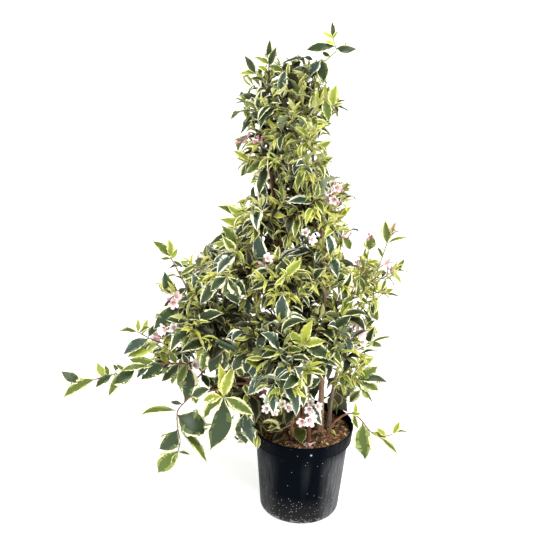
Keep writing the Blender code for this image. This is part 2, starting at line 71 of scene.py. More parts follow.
def addNode(tree, kind, settings=None, links=None):
    # settings are properties, ramp stops or input values; links are input: (node, output)
    node = tree.nodes.new("ShaderNode" + kind)
    for key, value in (settings or {}).items():
        if key == "stops":
            ramp = node.color_ramp
            while len(ramp.elements) < len(value):
                ramp.elements.new(0.5)
            for stop, (place, colour) in zip(ramp.elements, value):
                stop.position = place
                stop.color = colour
        elif isinstance(key, str) and hasattr(node, key):
            setattr(node, key, value)
        else:
            node.inputs[key].default_value = value
    for key, (source, output) in (links or {}).items():
        tree.links.new(source.outputs[output], node.inputs[key])
    return node


def newFinish(name, colour, roughness, ior=1.45):
    made = bpy.data.materials.new(name)
    made.use_nodes = True
    shader = made.node_tree.nodes["Principled BSDF"]
    shader.inputs["Base Color"].default_value = linearColour(colour)
    shader.inputs["Roughness"].default_value = roughness
    shader.inputs["IOR"].default_value = ior
    made.diffuse_color = linearColour(colour)
    return made, made.node_tree, shader


class Heap:
    # points, faces and finishes of many small things that end in one mesh
    def __init__(self):
        self.points = []
        self.faces = []
        self.finishes = []
        self.count = 0

    def add(self, points, faces, finish):
        points = np.asarray(points, float).reshape(-1, 3)
        self.points.append(points)
        self.faces.extend([tuple(i + self.count for i in face) for face in faces])
        self.finishes.extend([finish] * len(faces) if isinstance(finish, int) else list(finish))
        self.count += len(points)

    def triangles(self):
        return sum(len(face) - 2 for face in self.faces)

    def toObject(self, name, materials, crease=55):
        mesh = bpy.data.meshes.new(name)
        mesh.from_pydata(np.concatenate(self.points).tolist(), [], self.faces)
        for material in materials:
            mesh.materials.append(material)
        mesh.polygons.foreach_set("material_index", np.array(self.finishes, np.int32))
        mesh.shade_smooth()
        mesh.set_sharp_from_angle(angle=math.radians(crease))
        mesh.update()
        made = bpy.data.objects.new(name, mesh)
        bpy.context.scene.collection.objects.link(made)
        return made


# Camera: where the photograph was taken from, and its lens; its picture is 553 pixels square
view = dict(
    place=(-0.0718, -1.9403, 1.3112), pitch=20.753, roll=1.952, sensor=36, lens=36 * 950 / 553, side=553,
)


def cameraAxes():
    pitch, roll = math.radians(view["pitch"]), math.radians(view["roll"])
    forward = Vector((0, math.cos(pitch), -math.sin(pitch)))
    level = Vector((1, 0, 0))
    upright = level.cross(forward)
    right = level * math.cos(roll) + upright * math.sin(roll)
    top = upright * math.cos(roll) - level * math.sin(roll)
    return forward, right, top


forward, right, top = cameraAxes()
eye = Vector(view["place"])
pixelReach = view["lens"] / view["sensor"] * view["side"]


def throughPixel(u, v, value, axis=1):
    # the point behind a pixel where y, or another axis, has this value
    ray = forward * pixelReach + right * (u - view["side"] / 2) - top * (v - view["side"] / 2)
    return eye + ray * ((value - eye[axis]) / ray[axis])


def toPixel(point):
    away = point - eye
    reach = pixelReach / away.dot(forward)
    return view["side"] / 2 + reach * away.dot(right), view["side"] / 2 - reach * away.dot(top)


def makeCamera():
    lens = bpy.data.cameras.new("camera")
    lens.sensor_width = view["sensor"]
    lens.lens = view["lens"]
    camera = bpy.data.objects.new("camera", lens)
    placed = Matrix((right, top, -forward)).transposed().to_4x4()
    placed.translation = eye
    camera.matrix_world = placed
    bpy.context.scene.collection.objects.link(camera)
    bpy.context.scene.camera = camera


makeCamera()
print("camera placed")

# Finishes of the foliage: plain colours, dealt out by spray and by leaf.
# Living leaf, grown: a thin waxy skin over soft flesh gives a low, broad sheen, so IOR 1.45 and a
# roughness near 0.5; young leaves are waxier than old ones. Each tone of leaf has a green middle,
# a greyed zone between, a cream or yellow edge and a pale, dull underside, whose paleness is partly its
# own and partly painted light, standing in for light that shines through the leaf.
leafTones = {
    # the shade tone is painted shade: a darker copy of the leaf colours for leaves deep in the crown
    "shade": dict(blade="#1c200d", zone="#2e3218", edge="#7b774f", under="#3d3f24", roughness=0.52),
    "deep": dict(blade="#2e3e22", zone="#4f5d33", edge="#f0ebc2", under="#707b52", roughness=0.44),
    "blue": dict(blade="#36483a", zone="#667459", edge="#f7f4dc", under="#84906f", roughness=0.46),
    "mid": dict(blade="#566628", zone="#7f8d48", edge="#f1ebae", under="#98a166", roughness=0.43),
    "lime": dict(blade="#8a9736", zone="#afb858", edge="#f2eca0", under="#b8bb78", roughness=0.42),
    "fresh": dict(blade="#b4bb4a", zone="#cbcd6c", edge="#f2ea94", under="#cccb86", roughness=0.41),
}
toneNames = list(leafTones)
# the tones of old leaves and the shade tone, which is painted shade; all fold and bend like old leaves
oldAndShadeTones = ("shade", "deep", "blue")
leafSkin = dict(specular=0.34, underRoughness=0.16)  # the underside is that much duller


def leafFinishes():
    made = []
    for tone in toneNames:
        colours = leafTones[tone]
        for part in ("blade", "zone", "edge", "under"):
            roughness = colours["roughness"] + (leafSkin["underRoughness"] if part == "under" else 0.0)
            finish, _, shader = newFinish(f"livingLeaf_{tone}_{part}", colours[part], roughness)
            shader.inputs["Specular IOR Level"].default_value = leafSkin["specular"]
            made.append(finish)
    return made


# Young wood, grown: russet or green bark that is still smooth, so a dull satin
twigTones = {"russet": "#7a4f38", "tan": "#927553", "green": "#8b9450", "umber": "#5d4433"}
twigToneNames = list(twigTones)


def twigFinishes():
    return [newFinish(f"youngBark_{tone}", twigTones[tone], 0.58)[0] for tone in twigToneNames]


# Living petal, grown: a velvety skin scatters light, so it looks soft and matt; white to pale pink
# inside, rose outside and deeper in the throat and the buds
petalTones = {
    "white": "#f9f2f2", "blush": "#f5dde3", "rose": "#e8bac6", "throat": "#e8bcc6", "bud": "#d28ba0",
    "calyx": "#8a9656", "anther": "#e9dda6",
}
petalToneNames = list(petalTones)


def petalFinishes():
    return [newFinish(f"livingPetal_{tone}", petalTones[tone], 0.62, 1.4)[0] for tone in petalToneNames]


# The source's rule for the stems and the shoots of each mass, written again
up = Vector((0, 0, 1))
stemRule = dict(
    soilTop=0.202, gap=0.0003, sides=6, rings=8, tipShare=0.42, flare=1.35, flareHeight=0.018,
    rootSpacing=0.022,
)
stemSizes = {
    "upright_left": dict(
        foot=(-0.014, 0.002), tip=(-0.098, 0.01, 0.86), end=(-0.102, 0.0, 1.08),
        climb=84, radius=0.0078, spread=0.85, bark="russet",
    ),
    "upright_right": dict(
        foot=(0.04, -0.008), tip=(-0.012, -0.004, 0.88), end=(0.028, 0.0, 1.118),
        climb=78, radius=0.0066, spread=0.62, bark="tan",
    ),
    "upright_back": dict(
        foot=(0.006, 0.036), tip=(-0.05, 0.05, 0.84), end=(-0.054, 0.04, 1.045),
        climb=86, radius=0.006, spread=0.85, bark="grey",
    ),
    "shoulder_left": dict(
        foot=(-0.056, 0.01), tip=(-0.228, -0.01, 0.49), end=(-0.322, -0.012, 0.65),
        climb=50, radius=0.0055, spread=0.85, bark="tan",
    ),
    "arch_left": dict(
        foot=(-0.05, -0.026), tip=(-0.265, -0.046, 0.38), end=(-0.556, -0.06, 0.316),
        climb=2, radius=0.005, spread=0.4, bark="russet",
    ),
    "droop_left": dict(
        foot=(-0.022, -0.052), tip=(-0.2, -0.116, 0.352), end=(-0.31, -0.126, 0.152),
        climb=-30, radius=0.0044, spread=0.7, bark="russet",
    ),
    "front": dict(
        foot=(0.014, -0.048), tip=(-0.03, -0.15, 0.42), end=(-0.052, -0.232, 0.47),
        climb=30, radius=0.0046, spread=1.0, bark="russet",
    ),
    "right_high": dict(
        foot=(0.062, 0.014), tip=(0.124, 0.012, 0.51), end=(0.178, 0.0, 0.714),
        climb=70, radius=0.005, spread=0.7, bark="grey",
    ),
    "right_low": dict(
        foot=(0.058, -0.036), tip=(0.12, -0.024, 0.256), end=(0.206, -0.024, 0.128),
        climb=-26, radius=0.0036, spread=0.55, bark="russet",
    ),
    "back_left": dict(
        foot=(-0.044, 0.044), tip=(-0.17, 0.14, 0.47), end=(-0.235, 0.2, 0.562),
        climb=42, radius=0.005, spread=1.0, bark="tan",
    ),
    "back_right": dict(
        foot=(0.04, 0.05), tip=(0.078, 0.146, 0.47), end=(0.122, 0.208, 0.57),
        climb=46, radius=0.005, spread=1.0, bark="grey",
    ),
    "back": dict(
        foot=(-0.01, 0.064), tip=(-0.05, 0.176, 0.372), end=(-0.058, 0.268, 0.356),
        climb=10, radius=0.0044, spread=1.0, bark="tan",
    ),
}
sprayTips = {
    "left": dict(tip=(-0.42, -0.005, 0.434), rise=0.03, spread=0.75),
    "shoulder": dict(tip=(-0.208, -0.01, 0.742), rise=0.1, spread=0.85),
    "right_upper": dict(tip=(0.2, 0.002, 0.596), rise=0.08, spread=0.75),
    "right_middle": dict(tip=(0.19, -0.01, 0.43), rise=0.03, spread=0.85),
    "left_low": dict(tip=(-0.36, -0.07, 0.278), rise=-0.06, spread=0.45),
    "top_middle": dict(tip=(-0.06, 0.0, 1.046), rise=0.12, spread=0.8),
}
tierRule = [
    dict(height=0.262, radius=0.185, sectors=5, rise=-0.05, turn=0.15, apart=0.075),
    dict(height=0.375, radius=0.25, sectors=7, rise=0.02, turn=0.5, apart=0.072),
    dict(height=0.51, radius=0.24, sectors=7, rise=0.08, turn=0.1, apart=0.06),
    dict(height=0.64, radius=0.17, sectors=6, rise=0.1, turn=0.4, apart=0.05),
    dict(height=0.57, radius=0.1, sectors=4, rise=0.1, turn=0.7, apart=0.05),
    dict(height=0.765, radius=0.098, sectors=5, rise=0.1, turn=0.05, apart=0.045),
    dict(height=0.87, radius=0.09, sectors=4, rise=0.1, turn=0.35, apart=0.035),
    dict(height=0.985, radius=0.09, sectors=4, rise=0.1, turn=0.9, apart=0.035),
]
crownRule = dict(
    centres=[(0.2, -0.075), (0.46, -0.085), (0.66, -0.06), (0.76, -0.04), (0.86, -0.07), (1.12, -0.048)],
    depth=0.004, seed=8, seatTries=24,
    opening=dict(left=-0.015, back=-0.06, top=0.33), overlap=0.034,
)
shootRule = dict(
    radius=0.003, tipRadius=0.0016, rings=5, twigSpacing=0.075, twigLength=0.085, twigAngle=52, twigLift=0.15,
    leafLengths=(0.104, 0.082), leafHeights=(0.35, 0.85), tipReach=0.42,
)


def bezier(corners, count):
    a, b, c, d = corners
    steps = [i / (count - 1) for i in range(count)]
    return [a * (1 - t) ** 3 + b * 3 * t * (1 - t) ** 2 + c * 3 * t * t * (1 - t) + d * t**3 for t in steps]


def flat(vector):
    return Vector((vector.x, vector.y, 0))


def someWay(pick, reach):
    return Vector([pick.uniform(-reach, reach) for _ in range(3)])


def stemCorners(sizes):
    foot = Vector((*sizes["foot"], stemRule["soilTop"] + stemRule["gap"]))
    tip = Vector(sizes["tip"])
    outward = flat(tip - foot).normalized()
    climb = math.radians(sizes["climb"])
    heading = outward * math.cos(climb) + up * math.sin(climb)
    reach = (tip - foot).length
    return [foot, foot + up * 0.42 * reach, tip - heading * 0.36 * reach, tip]


def stemRadii(radius, path):
    radii = []
    for i, place in enumerate(path):
        taper = 1 - (1 - stemRule["tipShare"]) * i / (len(path) - 1)
        above = (place.z - path[0].z) / stemRule["flareHeight"]
        radii.append(radius * taper * (1 + (stemRule["flare"] - 1) * max(0.0, 1 - above)))
    return radii


def headings(path):
    ends = [path[0]] + path + [path[-1]]
    return [(after - before).normalized() for before, after in zip(ends, ends[2:])]


def ringFaces(rings, sides):
    # the quads between rings of points, one ring after another
    return [
        (k * sides + i, k * sides + (i + 1) % sides, (k + 1) * sides + (i + 1) % sides, (k + 1) * sides + i)
        for k in range(rings - 1)
        for i in range(sides)
    ]


def tube(path, radii, sides, firstWay=None):
    ways = headings(path)
    if firstWay:
        ways[0] = firstWay
    across = ways[0].orthogonal().normalized()
    points = []
    for place, way, radius in zip(path, ways, radii):
        across = (across - way * across.dot(way)).normalized()
        over = way.cross(across)
        for i in range(sides):
            angle = 2 * math.pi * i / sides
            points.append(place + (across * math.cos(angle) + over * math.sin(angle)) * radius)
    start, end = tuple(reversed(range(sides))), tuple(range(len(points) - sides, len(points)))
    return points, [start] + ringFaces(len(points) // sides, sides) + [end]


class Neighbours:
    # search trees of what is there already, in a grid of cells, to keep new pieces clear of it
    def __init__(self, cell=0.05):
        self.cell = cell
        self.cells = {}

    def reach(self, points):
        # the box round the points and the cells that it meets
        low = [min(p[k] for p in points) for k in range(3)]
        high = [max(p[k] for p in points) for k in range(3)]
        x, y, z = [
            range(math.floor(least / self.cell), math.floor(most / self.cell) + 1)
            for least, most in zip(low, high)
        ]
        return low, high, [(i, j, k) for i in x for j in y for k in z]

    def add(self, points, faces):
        low, high, cells = self.reach(points)
        entry = (low, high, BVHTree.FromPolygons(points, faces))
        for cell in cells:
            self.cells.setdefault(cell, []).append(entry)

    def touch(self, points, faces):
        low, high, cells = self.reach(points)
        tree = None
        tested = set()
        for cell in cells:
            for entry in self.cells.get(cell, ()):
                if id(entry) in tested:
                    continue
                tested.add(id(entry))
                if any(high[k] < entry[0][k] or low[k] > entry[1][k] for k in range(3)):
                    continue
                tree = tree or BVHTree.FromPolygons(points, faces)
                if tree.overlap(entry[2]):
                    return True
        return False


def alongPath(path, share):
    spot = min(max(share, 0.0), 1.0) * (len(path) - 1)
    i = min(int(spot), len(path) - 2)
    return path[i].lerp(path[i + 1], spot - i), (path[i + 1] - path[i]).normalized()


def pathLength(path):
    return sum((after - before).length for before, after in zip(path, path[1:]))


def pairWays(heading, turn, angle):
    across = heading.cross(up)
    across = (across if across.length > 0.2 else heading.cross(Vector((1, 0, 0)))).normalized()
    over = heading.cross(across)
    side = across * math.cos(turn) + over * math.sin(turn)
    lean = math.radians(angle)
    return [(heading * math.cos(lean) + side * sign * math.sin(lean)).normalized() for sign in (1, -1)]


def fullLeaf(height):
    low, high = shootRule["leafHeights"]
    share = min(max((height - low) / (high - low), 0.0), 1.0)
    return shootRule["leafLengths"][0] + (shootRule["leafLengths"][1] - shootRule["leafLengths"][0]) * share


def crownCentre(height):
    centres = crownRule["centres"]
    for (low, xLow), (high, xHigh) in zip(centres, centres[1:]):
        if height <= high:
            x = xLow + (xHigh - xLow) * (height - low) / (high - low)
            return Vector((x, crownRule["depth"], height))
    return Vector((centres[-1][1], crownRule["depth"], height))


def gapTo(path, place):
    return min((point - place).length for point in path)


def findSeats(stems, taken, tip, rise):
    found = []
    for name, stem in stems.items():
        length = pathLength(stem["path"])
        for step in range(6, 39):
            share = step / 40
            if all(abs(share - other) * length >= stemRule["rootSpacing"] for other in taken[name]):
                place, _ = alongPath(stem["path"], share)
                found.append(((tip - place).length + 1.5 * abs(tip.z - place.z - rise), name, share))
    return [(name, share) for _, name, share in sorted(found)]


def planMasses(stems, built):
    # the name, shoot, spread and seat of every mass, drawn from the same seed as the source's
    rng = random.Random(crownRule["seed"] + 1)
    plan = []

    def settle(name, shoot, normal, radius, spread, seat):
        step = [radius + (shootRule["tipRadius"] - radius) * i / (len(shoot) - 1) for i in range(len(shoot))]
        stalk = tube(shoot, step, 3, normal)
        if built.touch(*stalk):
            return False
        built.add(*stalk)
        plan.append(dict(name=name, shoot=shoot, radius=radius, spread=spread, seat=seat))
        return True

    for name, stem in stems.items():
        heading = headings(stem["path"])[-1]
        root = stem["path"][-1] + heading * stemRule["gap"]
        end = Vector(stem["sizes"]["end"])
        out = (end - root).normalized()
        end -= out * fullLeaf(end.z) * shootRule["tipReach"]
        reach = (end - root).length
        corners = [root, root + heading * 0.35 * reach, end - out * 0.3 * reach, end]
        shoot = bezier(corners, shootRule["rings"] + 2)
        radius = max(stem["radii"][-1], shootRule["radius"])
        settle(f"foliage_{name}", shoot, heading, radius, stem["sizes"]["spread"], (name, 1.0))
    taken = {name: [1.0] for name in stems}

    def sideShoot(name, tip, rise, spread):
        sway = someWay(rng, 0.012)
        droop = 0.25 - 1.2 * max(0.0, 0.4 - tip.z)
        for stemName, share in findSeats(stems, taken, tip, rise)[:crownRule["seatTries"]]:
            place, heading = alongPath(stems[stemName]["path"], share)
            outward = tip - place
            outward = (outward - heading * outward.dot(heading)).normalized()
            spot, normal, *_ = stems[stemName]["bark"].ray_cast(place + outward * 0.05, -outward)
            root = spot + normal * stemRule["gap"]
            reach = (tip - root).length
            way = ((tip - root).normalized() + up * droop).normalized()
            first = root + (normal + up * 0.5) * 0.3 * reach + sway
            shoot = bezier([root, first, tip - way * 0.35 * reach, tip], shootRule["rings"])
            if settle(f"foliage_{name}", shoot, normal, shootRule["radius"], spread, (stemName, share)):
                taken[stemName].append(share)
                return

    for name, spray in sprayTips.items():
        tip = Vector(spray["tip"])
        tip -= flat(tip - crownCentre(tip.z)).normalized() * fullLeaf(tip.z) * shootRule["tipReach"]
        sideShoot(f"spray_{name}", tip, spray["rise"], spray["spread"])
    for number, tier in enumerate(tierRule, 1):
        for sector in range(tier["sectors"]):
            angle = 2 * math.pi * (sector + tier["turn"]) / tier["sectors"] + rng.uniform(-0.12, 0.12)
            out = Vector((math.cos(angle), math.sin(angle), 0))
            tip = crownCentre(tier["height"]) + out * tier["radius"] * rng.uniform(0.92, 1.06)
            tip.z += rng.uniform(-0.02, 0.02)
            tip -= out * fullLeaf(tip.z) * shootRule["tipReach"]
            if all(gapTo(mass["shoot"], tip) >= tier["apart"] for mass in plan):
                sideShoot(f"tier{number}_{sector + 1}", tip, tier["rise"], 1.0)
    return plan


def cornersAndFaces(mesh):
    return [vert.co.copy() for vert in mesh.vertices], [tuple(face.vertices) for face in mesh.polygons]


solids = Neighbours()  # pot, compost and stems, which nothing may pass through
shootsBuilt = Neighbours(0.2)  # the same, and the shoots as they are planned
for name in ("pot", "compost"):
    for held in (solids, shootsBuilt):
        held.add(*cornersAndFaces(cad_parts[name].data))
stems = {}
for name, sizes in stemSizes.items():
    path = bezier(stemCorners(sizes), stemRule["rings"])
    radii = stemRadii(sizes["radius"], path)
    bark = tube(path, radii, stemRule["sides"], up)
    stems[name] = dict(path=path, radii=radii, bark=BVHTree.FromPolygons(*bark), sizes=sizes)
    for held in (solids, shootsBuilt):
        held.add(*bark)
plan = planMasses(stems, shootsBuilt)
planNames = sorted(mass["name"] for mass in plan)
print("rule followed for", len(plan), "masses, same names as the frame:", planNames == massNames)

solidTrees = {name: BVHTree.FromPolygons(*cornersAndFaces(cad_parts[name].data)) for name in massNames}
shootPoints = np.array([tuple(point) for mass in plan for point in mass["shoot"]])
shootOwner = np.array([number for number, mass in enumerate(plan) for _ in mass["shoot"]])


# Leaves. A blade is a closed thin body: five or seven columns of points across its top and one below, with
# fewer stations along a small leaf. Its half width follows the outline of a weigela leaf, with a short stalk
# and a drawn-out tip.
leafOutline = dict(
    at=[0.0, 0.05, 0.1, 0.2, 0.32, 0.45, 0.58, 0.7, 0.8, 0.88, 0.94, 1.0],
    half=[0.03, 0.045, 0.2, 0.62, 0.9, 1.0, 0.93, 0.76, 0.52, 0.29, 0.13, 0.015],
)
leafBuild = dict(
    stations={"large": 14, "middle": 11, "small": 8}, largeFrom=0.064, middleFrom=0.041, thickness=0.0005,
    tooth=0.085, relief=0.012, wave=0.15, sway=0.12, twist=0.9, longest=0.11,
)


def leafBlade(rng, length, widthShare, bend, fold, tone, edgeShare):
    # the base is at the origin, the tip at (0, length, 0) and the face along +Z; bend is how far the blade
    # arches between them and fold its keel, in radians; edgeShare is how much of the half width is pale rim
    size = "middle" if length > leafBuild["middleFrom"] else "small"
    if length > leafBuild["largeFrom"]:
        size = "large"
    count = leafBuild["stations"][size]
    s = np.linspace(0, 1, count + 1) ** 0.92
    half = np.interp(s, leafOutline["at"], leafOutline["half"]) * length * widthShare / 2
    theta = -bend * s**1.3
    step = np.diff(s, prepend=0)
    y, z = np.cumsum(np.cos(theta) * step), np.cumsum(np.sin(theta) * step)
    chord, lean = math.hypot(y[-1], z[-1]), math.atan2(z[-1], y[-1])
    y, z = (y * math.cos(lean) + z * math.sin(lean)), (z * math.cos(lean) - y * math.sin(lean))
    y, z, theta = y * length / chord, z * length / chord, theta - lean
    sway = rng.uniform(-leafBuild["sway"], leafBuild["sway"]) * length * 2 * s * (1 - s)
    twist = rng.uniform(-leafBuild["twist"], leafBuild["twist"]) * s
    keel = fold * (1 - 0.5 * s)
    tooth = leafBuild["tooth"] * half * np.where(np.arange(count + 1) % 2, 1, -0.6)
    tooth[0] = tooth[-1] = 0
    walk = np.clip(np.cumsum(rng.uniform(-0.12, 0.12, (2, count + 1)), axis=1), -0.14, 0.14)
    edge = np.clip(edgeShare + walk + 0.25 * np.clip((s - 0.82) / 0.18, 0, 1), 0.07, 0.6)
    zone = rng.uniform(0.15, 0.3, (2, count + 1))
    phases = rng.uniform(0, 6.28, 2)
    waveTurns = rng.uniform(1.4, 2.6)
    waveSize = leafBuild["wave"] * rng.uniform(0.3, 1.2)
    normalY, normalZ = -np.sin(theta), np.cos(theta)

    def place(column, lower=0.0):
        # column from -1 to 1 across, as an array along the leaf
        side = 0 if np.mean(column) < 0 else 1
        out = np.abs(column)
        wide = half * column + np.sign(column) * tooth * (out > 0.999)
        wave = waveSize * half * out**2 * np.sin(waveTurns * 6.28 * s + phases[side])
        lift = np.abs(wide) * np.sin(keel) + wave
        lift -= lower
        across = wide * np.cos(keel)
        x = sway + across * np.cos(twist) - lift * np.sin(twist)
        height = lift * np.cos(twist) + across * np.sin(twist)
        return np.stack([x, y + normalY * height, z + normalZ * height], axis=1)

    rim, middle = np.ones(count + 1), np.zeros(count + 1)
    base = toneNames.index(tone) * 4  # the finishes of a tone are its blade, zone, edge and underside
    waves = np.where(np.arange(count + 1) % 2, 1, -0.2)
    ribs = leafBuild["relief"] * length * waves * np.minimum(1, half / (0.1 * length))
    sink = leafBuild["thickness"] * np.minimum(1, 8 * s) * np.minimum(1, 12 * (1 - s) + 0.15)
    left, right = 1 - edge
    if size == "small":
        columns = [place(-rim), place(-left), place(middle, 0.02 * half), place(right), place(rim)]
        bands = [[base + 2] * count, [base] * count, [base] * count, [base + 2] * count]
    else:
        columns = [
            place(-rim), place(-left), place(-left * (0.8 - zone[0]), -ribs * 0.5),
            place(middle, 0.02 * half),
            place(right * (0.8 - zone[1]), -ribs * 0.5), place(right), place(rim),
        ]
        greyed = (base + (rng.random((2, count)) < 0.6)).tolist()
        bands = [[base + 2] * count, greyed[0], [base] * count, [base] * count, greyed[1], [base + 2] * count]
    columns.append(place(middle, sink + 0.02 * half + 0.0002))
    points = np.stack(columns, axis=1).reshape(-1, 3)
    wide = len(columns)
    low = np.arange(count) * wide
    faces, finishes = [], []
    for a, b, band in [(j, j + 1, band) for j, band in enumerate(bands)] + [
        (wide - 2, wide - 1, [base + 3] * count), (wide - 1, 0, [base + 3] * count),
    ]:
        quads = np.stack([low + a, low + b, low + wide + b, low + wide + a], axis=1)
        faces.extend(map(tuple, quads.tolist()))
        finishes.extend(band)
    return points, faces, finishes


def leafProxy(base, way, normal, length, widthShare, bend):
    # a coarse leaf of four triangles without its stalk, to test against what is there
    side = way.cross(normal).normalized() * length * widthShare * 0.46
    root = base + way * length * 0.16 + normal * length * bend * 0.05
    middle = base + way * length * 0.5 + normal * length * (0.06 + bend * 0.12)
    tip = base + way * length * 0.97
    points = [root, middle + side, tip, middle - side, middle]
    return points, [(0, 1, 4), (1, 2, 4), (2, 3, 4), (3, 0, 4)]


# Where the photograph shows sky between the sprays, or open compost, as ellipses in its pixels: u, v, half
# width, half height
skyGaps = [
    (222, 193, 13, 9), (249, 190, 7, 5), (252, 211, 3, 5), (204, 214, 9, 14), (198, 236, 9, 8),
    (185, 254, 6, 6), (196, 262, 4, 5), (181, 289, 9, 6), (183, 312, 6, 7), (158, 300, 11, 12),
    (150, 393, 34, 11), (145, 440, 14, 20), (190, 444, 7, 8), (194, 404, 8, 5), (232, 426, 5, 14),
    (204, 371, 4, 4), (160, 262, 14, 8), (138, 312, 12, 12), (300, 44, 18, 9), (287, 50, 7, 8),
    (341, 76, 14, 8), (243, 84, 8, 5), (237, 122, 5, 22), (347, 150, 11, 26), (224, 92, 12, 12),
    (229, 166, 8, 20), (344, 126, 8, 6), (352, 247, 8, 12), (352, 290, 3, 6), (392, 315, 12, 16),
    (391, 360, 12, 14), (388, 340, 8, 9), (378, 412, 22, 8), (350, 406, 8, 4), (312, 392, 8, 7),
    (334, 397, 7, 7), (303, 372, 4, 6), (374, 252, 5, 7), (386, 282, 4, 9), (400, 250, 10, 8),
    (397, 383, 8, 10), (352, 256, 8, 12), (377, 255, 6, 8), (231, 430, 6, 12), (362, 215, 12, 16),
    (358, 348, 4, 4), (375, 365, 5, 5), (342, 440, 6, 16), (385, 460, 12, 8), (278, 444, 19, 13),
    (302, 440, 24, 13), (330, 432, 18, 13), (322, 418, 12, 7),
]


def inSky(place):
    u, v = toPixel(place)
    return any(((u - a) / c) ** 2 + ((v - b) / d) ** 2 < 1 for a, b, c, d in skyGaps)


def inOwnSpace(number, place):
    opening = crownRule["opening"]
    if place.x > opening["left"] and place.y < opening["back"] and place.z < opening["top"]:
        return False
    gaps = np.linalg.norm(shootPoints - np.array(place), axis=1)
    mine = gaps[shootOwner == number].min()
    return mine < gaps[shootOwner != number].min() + crownRule["overlap"]


# How old each part of the crown looks, and how much of it wears the shade tone, which is painted shade:
# the share of each tone, from the light top to the shaded foot, with the size of its leaves, the gap between
# pairs, how far they hang, how narrow and how curled they are, how much wider their pale rims, and how far
# out from the middle of the crown the leaves mostly, then partly, take the painted shade tone
zoneRule = {
    "column": dict(
        size=0.8, spacing=0.0106, drop=0.26, narrow=0.84, curl=1.3, rim=0.05, inner=(0.34, 0.54),
        tones=dict(shade=0.05, deep=0.23, blue=0.07, mid=0.26, lime=0.23, fresh=0.16),
    ),
    "dome": dict(
        size=0.78, spacing=0.0099, drop=0.06, narrow=0.8, curl=1.6, rim=0.05, inner=(0.34, 0.54),
        tones=dict(shade=0.04, deep=0.12, blue=0.04, mid=0.17, lime=0.32, fresh=0.31),
    ),
    "middle": dict(
        size=0.84, spacing=0.0112, drop=0.34, narrow=0.96, curl=1.2, rim=-0.03, inner=(0.62, 0.86),
        tones=dict(shade=0.2, deep=0.28, blue=0.09, mid=0.2, lime=0.15, fresh=0.08),
    ),
    "foot": dict(
        size=1.02, spacing=0.0152, drop=0.42, narrow=1.0, curl=1.0, rim=0.05, inner=(0.56, 0.82),
        tones=dict(shade=0.08, deep=0.25, blue=0.09, mid=0.31, lime=0.2, fresh=0.07),
    ),
    "right": dict(
        size=0.66, spacing=0.0118, drop=0.16, narrow=0.9, curl=1.3, rim=0.06, inner=(0.28, 0.44),
        tones=dict(shade=0.02, deep=0.05, blue=0.02, mid=0.27, lime=0.38, fresh=0.26),
    ),
}
# How it grows: bare feet of shoots, how many twigs, how near the source's leaves a tip stays, tries to find
# room, how often the inside takes the shade tone, which is painted shade, the angles and turns of leaves,
# and their length and width by tone
growth = dict(
    bareShare=0.1, fineTwigs=2.2, withinSolid=0.032, tries=6, seed=41, aboveFloor=0.012, shaded=(0.85, 0.45),
    youngAngles=(28, 42), oldAngles=(50, 74), youngDrop=0.05, sizes=(0.72, 1.22), facing=0.45, tuftFacing=0.5,
    lengths=dict(shade=0.062, deep=0.078, blue=0.076, mid=0.064, lime=0.053, fresh=0.043),
    widths=dict(shade=0.48, deep=0.47, blue=0.47, mid=0.42, lime=0.34, fresh=0.27),
    crownWidths=[(0.2, 0.15), (0.38, 0.24), (0.51, 0.235), (0.64, 0.17), (0.77, 0.105), (1.12, 0.09)],
)
# How the masses differ whose sprays are drawn below: up to which share of the shoot twigs and leaves grow by
# themselves and up to which share it shows at all, how much wider the leaves are spaced, and how much thinner
# the shoot is and its bark
massStyle = {
    "arch_left": dict(twigsTo=0.0, leavesTo=0.0),
    "droop_left": dict(twigsTo=0.0, leavesTo=0.0, shownTo=0.0),
    "spray_left_low": dict(twigsTo=0.0, leavesTo=0.0, shownTo=0.68),
    "spray_left": dict(twigsTo=0.55, leavesTo=0.5, sparse=1.3),
    "shoulder_left": dict(twigsTo=0.4, leavesTo=0.35),
    "spray_shoulder": dict(twigsTo=0.45, leavesTo=0.4, shownTo=0.62),
    "tier3_4": dict(twigsTo=0.75, leavesTo=0.8),
    "tier1_3": dict(twigsTo=0.55, leavesTo=0.5),
    "tier1_4": dict(twigsTo=0.45, leavesTo=0.4, shownTo=0.7),
    "right_low": dict(twigsTo=0.0, leavesTo=0.0, shownTo=0.0),
    "right_high": dict(twigsTo=0.4, leavesTo=0.35, slim=0.55, bark="green"),
    "spray_right_upper": dict(twigsTo=0.8, leavesTo=0.85, sparse=1.1),
    "spray_right_middle": dict(twigsTo=0.75, leavesTo=0.7, shownTo=0.9, slim=0.7),
    "tier2_7": dict(twigsTo=0.7, leavesTo=0.65, shownTo=0.8),
    "upright_right": dict(twigsTo=0.35, leavesTo=0.35, shownTo=0.5),
    "upright_left": dict(twigsTo=0.55, leavesTo=0.75),
    "spray_top_middle": dict(twigsTo=0.75, leavesTo=0.85),
}
# where each part of the crown begins
zoneLimits = dict(rightFrom=0.085, rightTop=0.75, column=0.78, dome=0.56, middle=0.38)


def zoneOf(place):
    if place.x > zoneLimits["rightFrom"] and place.z < zoneLimits["rightTop"]:
        return "right"
    for zone in ("column", "dome", "middle"):
        if place.z > zoneLimits[zone]:
            return zone
    return "foot"


def styleOf(mass):
    return massStyle.get(mass["name"].removeprefix("foliage_"), {})


def pieceOf(mass):
    # the large zones are two pieces each, front and back
    zone = zoneOf(mass["shoot"][-1])
    if zone in ("dome", "middle"):
        zone += "Front" if mass["shoot"][-1].y < crownRule["depth"] else "Back"
    return zone


leafHeaps = {}
twigHeaps = {}
